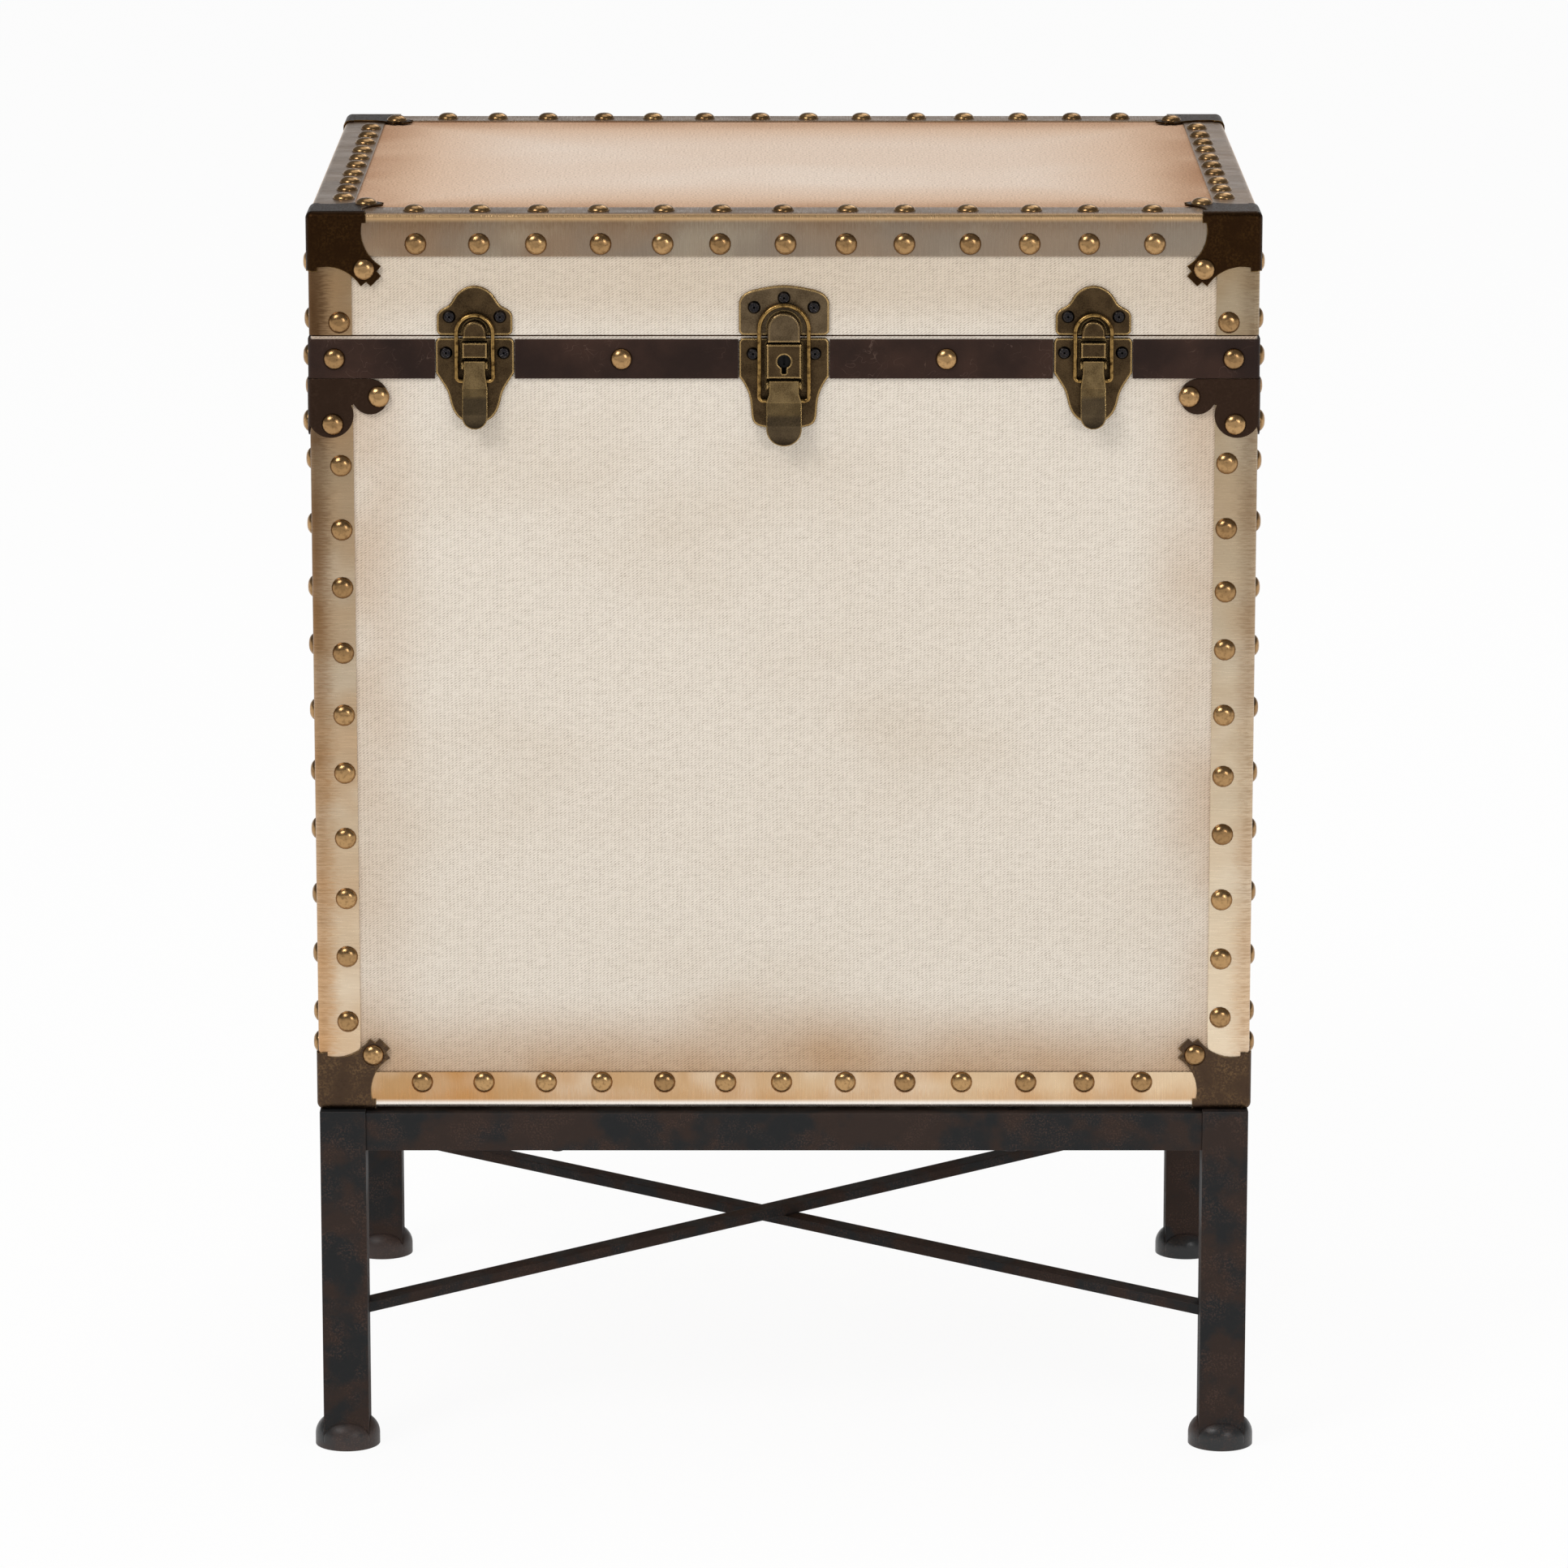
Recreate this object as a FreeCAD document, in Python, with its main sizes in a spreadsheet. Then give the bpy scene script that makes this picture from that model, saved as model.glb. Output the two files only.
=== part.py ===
import FreeCAD, Part
import math
import os
import re
from types import SimpleNamespace

from FreeCAD import Placement, Rotation, Vector

# Storage trunk on a welded steel stand: a canvas-covered box with metal edges, a hinged
# lid, two side catches and a centre lock. The origin is on the floor under the middle of
# the trunk, +X to the viewer's right, +Y to the back and +Z up. All sizes are millimetres.

SIZES = {
    # Trunk, measured over the metal strips
    "trunk_width": 450,
    "trunk_depth": 350,
    "box_height": 378.5,
    "lid_height": 58,
    "seam_gap": 0.7,
    "board": 9,
    "canvas_sheet": 0.8,
    "lining_sheet": 0.8,
    "edge_round": 1.6,
    # Metal strips on the edges
    "strip_sheet": 0.8,
    "strip_leg": 20.5,
    "bottom_leg": 18,
    "mitre_gap": 0.2,
    # Fishtail corner caps
    "cap_sheet": 1,
    "cap_side": 28.6,
    "cap_reach": 35.6,
    "cap_nail_inset": 26.5,
    # Clover corner caps under the leather band
    "clover_gap": 0.2,
    "clover_wide": 29.8,
    "clover_tall": 17.4,
    "clover_small_round": 8.5,
    "clover_large_round": 10.9,
    "clover_nail_shift": 3,
    # Leather band round the rim of the box
    "band_sheet": 1.4,
    "band_height": 18.7,
    "band_drop": 1.3,
    "band_gap": 0.3,
    # Stand
    "stand_inset": 0.5,
    "stand_overhang": 4.5,
    "stand_height": 170,
    "leg_side": 22,
    "tube_wall": 1.5,
    "rail_height": 18.5,
    "rail_depth": 18,
    "rail_setback": 1,
    "rail_drop": 1,
    "bar_width": 10,
    "bar_sheet": 5,
    "bar_level": 69,
    "bar_rise": 8,
    "foot_round": 15.75,
    "foot_height": 14,
    "foot_dome": 9,
    "foot_floor": 3,
    "socket_gap": 0.1,
    "stand_screw_inset": 114.5,
    "stand_screw_head": 4,
    "stand_screw_rise": 2.2,
    "stand_screw_shank": 2,
    "stand_screw_bite": 14,
    # Domed nails
    "nail_head": 5.2,
    "nail_rise": 2.6,
    "nail_rim": 0.5,
    "nail_shank": 0.9,
    "nail_length": 8,
    "nail_inset": 14.5,
    "bottom_nail_inset": 12.8,
    "top_nail_inset": 10.5,
    "top_side_nail_inset": 14.5,
    "nail_wander": 1.2,
    "row_margin": 51,
    "post_margin_low": 44,
    "post_margin_high": 42,
    "lid_nail_height": 6,
    "band_nail_inset": 12,
    "band_nail_reach": 69.4,
    # Cross-head screws of the plates and hinges
    "screw_head": 3.1,
    "screw_rise": 1.4,
    "screw_shank": 1.4,
    "screw_length": 9,
    "screw_cross": 1,
    "screw_cross_depth": 0.8,
    "screw_gap": 0.2,
    # What the three catches share
    "plate_sheet": 1.6,
    "plate_corner": 2.5,
    "plate_round": 0.6,
    "plate_gap": 0.9,
    "strike_lift": 0.4,
    "tongue_front": 6.5,
    "tongue_gap": 0.6,
    "tongue_round": 1,
    "pivot_depth": 5,
    "lever_front": 7,
    "lever_tip_front": 9.8,
    "lever_curl": 1.2,
    "lever_swing": 3,
    "lever_wall": 1.2,
    "lever_gap": 0.3,
    "flange_margin": 2.2,
    "ear_wall": 1,
    "ear_margin": 1.2,
    "pin_round": 1,
    "pin_gap": 0.05,
    "bail_wire": 1,
    "bail_bend": 2,
    "bail_drop": 7.5,
    "bail_end": 0.2,
    # Side catches
    "catch_inset": 78.6,
    "catch_plate_half": 18.6,
    "catch_plate_drop": 42,
    "catch_strike_half": 17.9,
    "catch_strike_rise": 24,
    "catch_tongue_half": 5.6,
    "catch_tongue_rise": 7.8,
    "catch_tongue_drop": 0.6,
    "catch_bridge_half": 6,
    "catch_bridge_front": 5.4,
    "catch_bridge_gap": 2,
    "catch_pivot_drop": 13.5,
    "catch_lever_half": 4.9,
    "catch_tip_half": 6,
    "catch_lever_length": 30.1,
    "catch_bail_clear": 1.6,
    # Centre lock
    "lock_plate_half": 21.3,
    "lock_plate_drop": 44.4,
    "lock_strike_half": 21.4,
    "lock_strike_rise": 24.2,
    "lock_tongue_half": 7.8,
    "lock_tongue_rise": 11.8,
    "lock_tongue_drop": 2.6,
    "lock_bridge_half": 8.3,
    "lock_bridge_front": 6.4,
    "lock_bridge_gap": 0.6,
    "lock_pivot_drop": 23,
    "lock_lever_half": 7,
    "lock_tip_half": 8.4,
    "lock_lever_length": 28.7,
    "lock_bail_clear": 2.3,
    "plug_round": 3.1,
    "plug_gap": 0.1,
    "plug_recess": 2,
    "keyhole_slot": 2.2,
    "keyhole_drop": 5.8,
    "key_slot": 1.1,
    "key_slot_depth": 1.5,
    # Hinges
    "hinge_inset": 105,
    "leaf_half": 20,
    "leaf_height": 24,
    "leaf_sheet": 1.2,
    "knuckle_round": 3,
    "knuckle_gap": 0.2,
    "hinge_pin_round": 1.5,
    "hinge_screw_offset": 13,
    # How far a cutting shape runs past what it cuts
    "overrun": 2,
}

# Shares chosen by hand. An outline share pair is (share of the half width, share of the
# height), a cap share pair is a share of the cap's reach both ways.
CAP_WAIST_SHARES = (0.93, 0.45)
CAP_TOOTH_SHARES = ((1, 0.73), (0.943, 0.8), (1, 0.863))
CLOVER_NAIL_SHARE = 1.25
LEVER_SHARES = {
    "catch": SimpleNamespace(neck=0.12, fold=0.355, crown=0.764),
    "lock": SimpleNamespace(neck=0.14, fold=0.28, crown=0.66),
}
# Where a strike's side ends, then the points of its crown up to the apex.
STRIKE_SHARES = {
    "catch": ((1, 0.4), (0.91, 0.51), (0.69, 0.61), (0.53, 0.778), (0.29, 0.943), (0, 1)),
    "lock": ((1, 0.66), (0.94, 0.775), (0.5, 0.945), (0, 1)),
}
# Where a base plate's side ends, then the points of its tail down to the lowest point.
PLATE_SHARES = {
    "catch": ((1, 0.42), (0.84, 0.53), (0.7, 0.645), (0.62, 0.78), (0.43, 0.93), (0, 1)),
    "lock": ((1, 0.44), (0.9, 0.51), (0.79, 0.625), (0.735, 0.79), (0.66, 0.94), (0.36, 0.99), (0, 1)),
}
# Screws in each strike and base plate, as shares of its half width and its height.
STRIKE_SCREW_SHARES = {
    "catch": ((-0.67, 0.385), (0.67, 0.385)),
    "lock": ((-0.66, 0.57), (0, 0.755), (0.66, 0.57)),
}
PLATE_SCREW_SHARES = {
    "catch": ((-0.735, 0.19), (0.735, 0.19)),
    "lock": ((-0.69, 0.19), (0.69, 0.19)),
}
HINGE_SCREW_SHARE = 0.62
# How much of a half turn the wander of hand-driven nails goes on from one to the next.
WANDER_SHARE = 0.7

# Counts
LID_ROW_NAILS = 13
TOP_FRONT_NAILS = 13
TOP_BACK_NAILS = 14
SIDE_ROW_NAILS = 10
POST_NAILS = 10
KNUCKLES = 5

doc = FreeCAD.newDocument("StorageTrunk")
sheet = doc.addObject("Spreadsheet::Sheet", "Sizes")
for row, (alias, value) in enumerate(SIZES.items(), start=1):
    sheet.set("A%d" % row, alias)
    sheet.set("B%d" % row, str(value))
    sheet.setAlias("B%d" % row, alias)
doc.recompute()
size = SimpleNamespace(**{alias: float(sheet.get(alias)) for alias in SIZES})
nodes = []

# Levels and widths that several pieces share, as expressions on the sheet.
RIM = "(stand_height + box_height)"
LID_BASE = "(stand_height + box_height + seam_gap)"
LID_TOP = "(stand_height + box_height + seam_gap + lid_height)"
BOARD_WIDTH = "(trunk_width - 2 * strip_sheet - 2 * canvas_sheet)"
BOARD_DEPTH = "(trunk_depth - 2 * strip_sheet - 2 * canvas_sheet)"
BOARD_BASE = "(stand_height + cap_sheet + strip_sheet + canvas_sheet)"
LID_BOARD_TOP = LID_TOP + " - strip_sheet - canvas_sheet"
STAND_WIDTH = "(trunk_width - 2 * stand_inset)"
STAND_DEPTH = "(trunk_depth + 2 * stand_overhang)"
CATCH_OFFSET = "(trunk_width / 2 - catch_inset)"
HINGE_OFFSET = "(trunk_width / 2 - hinge_inset)"
BAND_TOP = RIM + " - band_drop"
BAND_BASE = RIM + " - band_drop - band_height"

# The same levels as numbers, for the shapes that are set in code.
rim = size.stand_height + size.box_height
lid_base = rim + size.seam_gap
lid_top = lid_base + size.lid_height
seam = (rim + lid_base) / 2
trunk_base = size.stand_height + size.cap_sheet
band_base = rim - size.band_drop - size.band_height
half_width = size.trunk_width / 2
half_depth = size.trunk_depth / 2
canvas_front = half_depth - size.strip_sheet
stand_width = size.trunk_width - 2 * size.stand_inset
stand_depth = size.trunk_depth + 2 * size.stand_overhang
catch_offset = half_width - size.catch_inset
hinge_offset = half_width - size.hinge_inset
front = Vector(0, -1, 0)


def bind(made, prop, text):
    """Bind a property to an expression written with the sheet's aliases."""
    made.setExpression(prop, re.sub(r"[a-z_]+", lambda found: "Sizes." + found.group(), text))


def block(name, lengths, low):
    """A box with its three lengths and its lowest corner bound to the sheet."""
    made = doc.addObject("Part::Box", name)
    for prop, text in zip(("Length", "Width", "Height"), lengths):
        bind(made, prop, text)
    for axis, text in zip("xyz", low):
        bind(made, "Placement.Base." + axis, text)
    return made


def centred(name, width, depth, low, high):
    """A box centred on the trunk's upright axis, from one level to another."""
    lengths = (width, depth, "(%s) - (%s)" % (high, low))
    return block(name, lengths, ("-(%s) / 2" % width, "-(%s) / 2" % depth, low))


def cylinder(name, radius, height, low):
    """An upright cylinder bound to the sheet."""
    made = doc.addObject("Part::Cylinder", name)
    bind(made, "Radius", radius)
    bind(made, "Height", height)
    for axis, text in zip("xyz", low):
        bind(made, "Placement.Base." + axis, text)
    return made


def cut(name, base, *tools):
    """One shape less others."""
    for number, tool in enumerate(tools):
        last = number == len(tools) - 1
        made = doc.addObject("Part::Cut", name if last else "%s_cut_%d" % (name, number))
        made.Base = base
        made.Tool = tool
        base = made
    return made


def fuse(name, shapes):
    """Several shapes as one."""
    made = doc.addObject("Part::MultiFuse", name)
    made.Shapes = shapes
    return made


def common(name, first, second):
    """What two shapes share."""
    made = doc.addObject("Part::MultiCommon", name)
    made.Shapes = [first, second]
    return made


def rounded(name, base, radius, wanted):
    """A shape with the edges that pass a test rounded."""
    doc.recompute()
    made = doc.addObject("Part::Fillet", name)
    made.Base = base
    edges = enumerate(base.Shape.Edges, start=1)
    made.Edges = [(number, radius, radius) for number, edge in edges if wanted(edge)]
    return made


def node(made, label=None):
    """Keep an object as one of the sub-parts that are written out."""
    made.Label = label or made.Name
    nodes.append(made)
    return made


def feature(label, shape, place=None):
    """A sub-part whose shape is set in code, with its placement after its shape."""
    made = doc.addObject("Part::Feature", label)
    made.Shape = shape
    made.Placement = place or Placement()
    return node(made)


def outline(start, *steps):
    """A closed wire from points, where a pair of points is an arc's middle and end."""
    edges = []
    here = start
    for step in steps + (start,):
        if isinstance(step, tuple):
            edges.append(Part.Arc(here, step[0], step[1]).toShape())
            here = step[1]
        elif (step - here).Length > 0:
            edges.append(Part.makeLine(here, step))
            here = step
    return Part.Wire(edges)


def prism(wire, along):
    """A wire's face pushed along a vector."""
    return Part.Face(wire).extrude(along)


def solid_box(low, high):
    """A plain box between two corners."""
    span = high - low
    return Part.makeBox(span.x, span.y, span.z, low)


# Each layer over the boards: how far it grows from the strips' outer faces, and its edge radius.
LAYERS = {
    "canvas": ("-strip_sheet", size.edge_round),
    "band": ("band_sheet - strip_sheet", size.edge_round + size.band_sheet),
    "strip": ("0", size.edge_round + size.strip_sheet),
    "cap": ("cap_sheet", size.edge_round + size.strip_sheet + size.cap_sheet),
}


def envelope(name, part, layer, past="0"):
    """One layer's outside, with every edge rounded but those of the open end."""
    grow, radius = LAYERS[layer]
    width = "(trunk_width + 2 * (%s))" % grow
    depth = "(trunk_depth + 2 * (%s))" % grow
    if part == "box":
        low = "stand_height + cap_sheet - (%s)" % grow
        high = "%s + %s" % (RIM, past)
    else:
        low = "%s - %s" % (LID_BASE, past)
        high = "%s + (%s)" % (LID_TOP, grow)
    plain = centred(name + "_plain", width, depth, low, high)
    doc.recompute()
    open_level = plain.Shape.BoundBox.ZMax if part == "box" else plain.Shape.BoundBox.ZMin

    def closed(edge):
        box = edge.BoundBox
        return abs(box.ZMin - open_level) + abs(box.ZMax - open_level) > size.edge_round

    return rounded(name, plain, radius, closed)


# Boards
def boards():
    """The wooden carcass of the box and of the lid."""
    inner_width = BOARD_WIDTH + " - 2 * board"
    inner_depth = BOARD_DEPTH + " - 2 * board"
    spans = {"box": (BOARD_BASE, RIM), "lid": (LID_BASE, LID_BOARD_TOP + " - board")}
    for part, (low, high) in spans.items():
        height = "(%s) - (%s)" % (high, low)
        left = "-(%s) / 2" % BOARD_WIDTH
        right = "(%s) / 2 - board" % BOARD_WIDTH
        fore = "-(%s) / 2" % BOARD_DEPTH
        back = "(%s) / 2 - board" % BOARD_DEPTH
        beside = "-(%s) / 2" % inner_depth
        node(block(part + "_front_board", (BOARD_WIDTH, "board", height), (left, fore, low)))
        node(block(part + "_back_board", (BOARD_WIDTH, "board", height), (left, back, low)))
        node(block(part + "_left_board", ("board", inner_depth, height), (left, beside, low)))
        node(block(part + "_right_board", ("board", inner_depth, height), (right, beside, low)))
    node(centred("box_floor_board", inner_width, inner_depth, BOARD_BASE, BOARD_BASE + " + board"))
    node(centred("lid_top_board", BOARD_WIDTH, BOARD_DEPTH, LID_BOARD_TOP + " - board", LID_BOARD_TOP))


# Canvas and lining
def coverings():
    """The canvas glued outside the boards and the paper lining inside them."""
    inner_width = BOARD_WIDTH + " - 2 * board"
    inner_depth = BOARD_DEPTH + " - 2 * board"
    wide = inner_width + " - 2 * lining_sheet"
    deep = inner_depth + " - 2 * lining_sheet"
    outside = envelope("box_canvas_outside", "box", "canvas")
    carcass = centred("box_carcass", BOARD_WIDTH, BOARD_DEPTH, BOARD_BASE, RIM + " + overrun")
    node(cut("box_canvas", outside, carcass))
    outside = envelope("lid_canvas_outside", "lid", "canvas")
    carcass = centred("lid_carcass", BOARD_WIDTH, BOARD_DEPTH, LID_BASE + " - overrun", LID_BOARD_TOP)
    node(cut("lid_canvas", outside, carcass))
    floor = BOARD_BASE + " + board"
    cup = centred("box_lining_outside", inner_width, inner_depth, floor, RIM)
    hollow = centred("box_hollow", wide, deep, floor + " + lining_sheet", RIM + " + overrun")
    node(cut("box_lining", cup, hollow))
    ceiling = LID_BOARD_TOP + " - board"
    cup = centred("lid_lining_outside", inner_width, inner_depth, LID_BASE, ceiling)
    hollow = centred("lid_hollow", wide, deep, LID_BASE + " - overrun", ceiling + " - lining_sheet")
    node(cut("lid_lining", cup, hollow))


def corner_columns(name, side, low, high):
    """Four square columns on the trunk's upright edges."""
    height = "(%s) - (%s)" % (high, low)
    columns = []
    for x, x_low in (("left", "-trunk_width / 2"), ("right", "trunk_width / 2 - %s" % side)):
        for y, y_low in (("front", "-trunk_depth / 2"), ("back", "trunk_depth / 2 - %s" % side)):
            columns.append(block("%s_%s_%s" % (name, y, x), (side, side, height), (x_low, y_low, low)))
    return fuse(name, columns)


def mitres(name, low, high):
    """Four thin upright slots on the corners' diagonals, where edge strips meet."""
    slots = []
    for x in (-1, 1):
        for y in (-1, 1):
            slot = doc.addObject("Part::Box", "%s_slot" % name)
            bind(slot, "Length", "2 * strip_leg")
            bind(slot, "Width", "mitre_gap")
            bind(slot, "Height", "(%s) - (%s)" % (high, low))
            turn = Rotation(Vector(0, 0, 1), math.degrees(math.atan2(-y, -x)))
            outer = Vector(x * (half_width + size.overrun), y * (half_depth + size.overrun), 0)
            inset = turn.multVec(Vector(0, -size.mitre_gap / 2, 0))
            slot.Placement = Placement(outer + inset, turn)
            bind(slot, "Placement.Base.z", low)
            slots.append(slot)
    return fuse(name, slots)


# Strips
def strips():
    """The folded metal strips on the edges of the box and the lid."""
    outside = envelope("box_strip_outside", "box", "strip")
    inside = envelope("box_strip_inside", "box", "canvas", "overrun")
    skin = cut("box_strip_skin", outside, inside)
    base = "stand_height + cap_sheet"
    ring_top = base + " + bottom_leg"
    posts = corner_columns("box_posts", "strip_leg", ring_top, BAND_BASE)
    node(common("box_corner_strips", skin, posts))
    slab = centred("box_ring", "trunk_width", "trunk_depth", base, ring_top)
    ring = common("box_bottom_ring", skin, slab)
    opening = centred(
        "box_ring_opening",
        "trunk_width - 2 * strip_leg",
        "trunk_depth - 2 * strip_leg",
        base + " - overrun",
        ring_top,
    )
    slots = mitres("box_mitres", base + " - overrun", ring_top + " + overrun")
    node(cut("box_bottom_strips", ring, opening, slots))

    outside = envelope("lid_strip_outside", "lid", "strip")
    inside = envelope("lid_strip_inside", "lid", "canvas", "overrun")
    skin = cut("lid_strip_skin", outside, inside)
    ring_base = LID_TOP + " - strip_leg"
    posts = corner_columns("lid_posts", "strip_leg", LID_BASE, ring_base)
    node(common("lid_corner_strips", skin, posts))
    slab = centred("lid_ring", "trunk_width", "trunk_depth", ring_base, LID_TOP)
    ring = common("lid_top_ring", skin, slab)
    opening = centred(
        "lid_ring_opening",
        "trunk_width - 2 * strip_leg",
        "trunk_depth - 2 * strip_leg",
        ring_base,
        LID_TOP + " + overrun",
    )
    slots = mitres("lid_mitres", ring_base + " - overrun", LID_TOP + " + overrun")
    node(cut("lid_edge_strips", ring, opening, slots))


def corner_frames():
    """Each corner's outward signs along X and Y."""
    return [(x, y) for x in (-1, 1) for y in (-1, 1)]


def cap_face(corner, across, along):
    """A fishtail cap's outline on one face, from the corner along two edges."""
    def at(u, v):
        return corner + across * u + along * v

    side = size.cap_side
    reach = size.cap_reach
    waist_u, waist_v = (share * side for share in CAP_WAIST_SHARES)
    teeth = [(u * reach, v * reach) for u, v in CAP_TOOTH_SHARES]
    steps = [at(side, 0), (at(waist_u, waist_v), at(*teeth[0]))]
    steps += [at(u, v) for u, v in teeth[1:]]
    steps += [at(v, u) for u, v in reversed(teeth)]
    steps += [(at(waist_v, waist_u), at(0, side))]
    return outline(at(0, 0), *steps)


def fishtail_caps(skin, level, down):
    """The four three-sided caps on the corners at one level of the trunk."""
    depth = size.edge_round + size.strip_sheet + size.cap_sheet + size.overrun
    upright = Vector(0, 0, down)
    caps = []
    for x, y in corner_frames():
        grow = size.cap_sheet
        corner = Vector(x * (half_width + grow), y * (half_depth + grow), level - down * grow)
        inward_x = Vector(-x, 0, 0)
        inward_y = Vector(0, -y, 0)
        faces = (
            prism(cap_face(corner, inward_x, upright), inward_y * depth),
            prism(cap_face(corner, inward_y, upright), inward_x * depth),
            prism(cap_face(corner, inward_x, inward_y), upright * depth),
        )
        caps.append(skin.common(faces[0].fuse(faces[1:])))
    return Part.makeCompound([cap.Solids[0] for cap in caps])


def clover_face(corner, across, push):
    """A clover cap's two lobes on one face, below the leather band."""
    down = Vector(0, 0, -1)
    small = size.clover_small_round
    large = size.clover_large_round
    wide = corner + across * size.clover_wide
    wide_centre = wide + down * small
    tall = corner + down * size.clover_tall
    tall_centre = tall + across * large
    body = prism(outline(corner, wide, wide_centre, tall_centre, tall), push)
    lobes = [
        Part.makeCylinder(small, push.Length, wide_centre, push),
        Part.makeCylinder(large, push.Length, tall_centre, push),
    ]
    return body.fuse(lobes)


def clover_caps(skin):
    """The four two-sided dark caps on the upright edges under the band."""
    depth = size.edge_round + size.strip_sheet + size.cap_sheet + size.overrun
    caps = []
    for x, y in corner_frames():
        grow = size.cap_sheet
        level = band_base - size.clover_gap
        corner = Vector(x * (half_width + grow), y * (half_depth + grow), level)
        inward_x = Vector(-x, 0, 0)
        inward_y = Vector(0, -y, 0)
        lobes = clover_face(corner, inward_x, inward_y * depth)
        lobes = lobes.fuse(clover_face(corner, inward_y, inward_x * depth))
        caps.append(skin.common(lobes).Solids[0])
    return Part.makeCompound(caps)


# Corner caps and leather band
def caps_and_band():
    """The caps over the strips and the leather band under the seam."""
    outside = envelope("box_cap_outside", "box", "cap")
    inside = envelope("box_cap_inside", "box", "strip", "overrun")
    box_skin = cut("box_cap_skin", outside, inside)
    outside = envelope("lid_cap_outside", "lid", "cap")
    inside = envelope("lid_cap_inside", "lid", "strip", "overrun")
    lid_skin = cut("lid_cap_skin", outside, inside)
    doc.recompute()
    feature("box_bottom_caps", fishtail_caps(box_skin.Shape, trunk_base, 1))
    feature("lid_corner_caps", fishtail_caps(lid_skin.Shape, lid_top, -1))
    feature("box_top_caps", clover_caps(box_skin.Shape))

    outside = envelope("band_outside", "box", "band")
    inside = envelope("band_inside", "box", "canvas", "overrun")
    skin = cut("band_skin", outside, inside)
    ring = centred(
        "band_ring",
        "trunk_width + 2 * band_sheet",
        "trunk_depth + 2 * band_sheet",
        BAND_BASE,
        BAND_TOP,
    )
    band = common("band_whole", skin, ring)
    gaps = []
    for name, offset, half, back in band_breaks():
        low = "-trunk_depth / 2 - band_sheet - overrun" if not back else "0"
        width = "2 * %s + 2 * band_gap" % half
        depth = "trunk_depth / 2 + band_sheet + overrun"
        height = "band_height + 2 * overrun"
        corner = ("%s - %s - band_gap" % (offset, half), low, BAND_BASE + " - overrun")
        gaps.append(block("band_gap_" + name, (width, depth, height), corner))
    node(cut("leather_band", band, fuse("band_gaps", gaps)))


def band_breaks():
    """Where plates and hinge leaves interrupt the band: name, place, half width, behind."""
    return (
        ("left", "-" + CATCH_OFFSET, "catch_plate_half", False),
        ("middle", "0", "lock_plate_half", False),
        ("right", CATCH_OFFSET, "catch_plate_half", False),
        ("hinge_left", "-" + HINGE_OFFSET, "leaf_half", True),
        ("hinge_right", HINGE_OFFSET, "leaf_half", True),
    )


# Stand
def stand():
    """Tube legs with domed feet, tube rails and two crossed flat bars."""
    legs = []
    for y, sign_y in (("front", -1), ("back", 1)):
        for x, sign_x in (("left", -1), ("right", 1)):
            name = "%s_%s" % (y, x)
            x_low = "-%s / 2" % STAND_WIDTH if sign_x < 0 else STAND_WIDTH + " / 2 - leg_side"
            y_low = "-%s / 2" % STAND_DEPTH if sign_y < 0 else STAND_DEPTH + " / 2 - leg_side"
            height = "stand_height - foot_floor"
            outer = block("leg_%s_outer" % name, ("leg_side",) * 2 + (height,), (x_low, y_low, "foot_floor"))
            legs.append(outer)
            bore = "leg_side - 2 * tube_wall"
            inner = block(
                "leg_%s_inner" % name,
                (bore, bore, height),
                (x_low + " + tube_wall", y_low + " + tube_wall", "foot_floor - tube_wall"),
            )
            node(cut("leg_" + name, outer, inner))
            centre = (x_low + " + leg_side / 2", y_low + " + leg_side / 2")
            puck = cylinder("foot_%s_puck" % name, "foot_round", "foot_height", centre + ("0",))
            dome = rounded(
                "foot_%s_dome" % name,
                puck,
                size.foot_dome,
                lambda edge: abs(edge.BoundBox.ZMin - size.foot_height) < size.overrun / 2,
            )
            hole = "leg_side + 2 * socket_gap"
            socket = block(
                "foot_%s_socket" % name,
                (hole, hole, "foot_height"),
                (x_low + " - socket_gap", y_low + " - socket_gap", "foot_floor"),
            )
            node(cut("foot_" + name, dome, socket))
    rails()
    stretchers(fuse("leg_blocks", legs))


def rails():
    """Four hollow rails between the legs, drilled for the screws into the trunk."""
    level = "stand_height - rail_drop - rail_height"
    for name, sign in (("front", -1), ("back", 1), ("left", -1), ("right", 1)):
        lengthwise = name in ("front", "back")
        over = STAND_DEPTH if lengthwise else STAND_WIDTH
        run = (STAND_WIDTH if lengthwise else STAND_DEPTH) + " - 2 * leg_side"
        near = "-%s / 2 + rail_setback" % over if sign < 0 else "%s / 2 - rail_setback - rail_depth" % over
        start = "-(%s) / 2" % run
        lengths = (run, "rail_depth") if lengthwise else ("rail_depth", run)
        low = (start, near) if lengthwise else (near, start)
        outer = block("rail_%s_outer" % name, lengths + ("rail_height",), low + (level,))
        hollow = "rail_depth - 2 * tube_wall"
        bore = (run + " + 2 * overrun", hollow) if lengthwise else (hollow, run + " + 2 * overrun")
        inside = (start + " - overrun", near + " + tube_wall")
        inside = inside if lengthwise else inside[::-1]
        inner = block(
            "rail_%s_inner" % name,
            bore + ("rail_height - 2 * tube_wall",),
            inside + (level + " + tube_wall",),
        )
        tools = [inner]
        if lengthwise:
            offset = STAND_WIDTH + " / 2 - stand_screw_inset"
            for number, side in enumerate(("-(%s)" % offset, offset)):
                tools.append(
                    cylinder(
                        "rail_%s_hole_%d" % (name, number),
                        "stand_screw_shank + screw_gap",
                        "rail_height + 2 * overrun",
                        (side, near + " + rail_depth / 2", level + " - overrun"),
                    )
                )
        node(cut("rail_" + name, outer, *tools))


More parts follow.
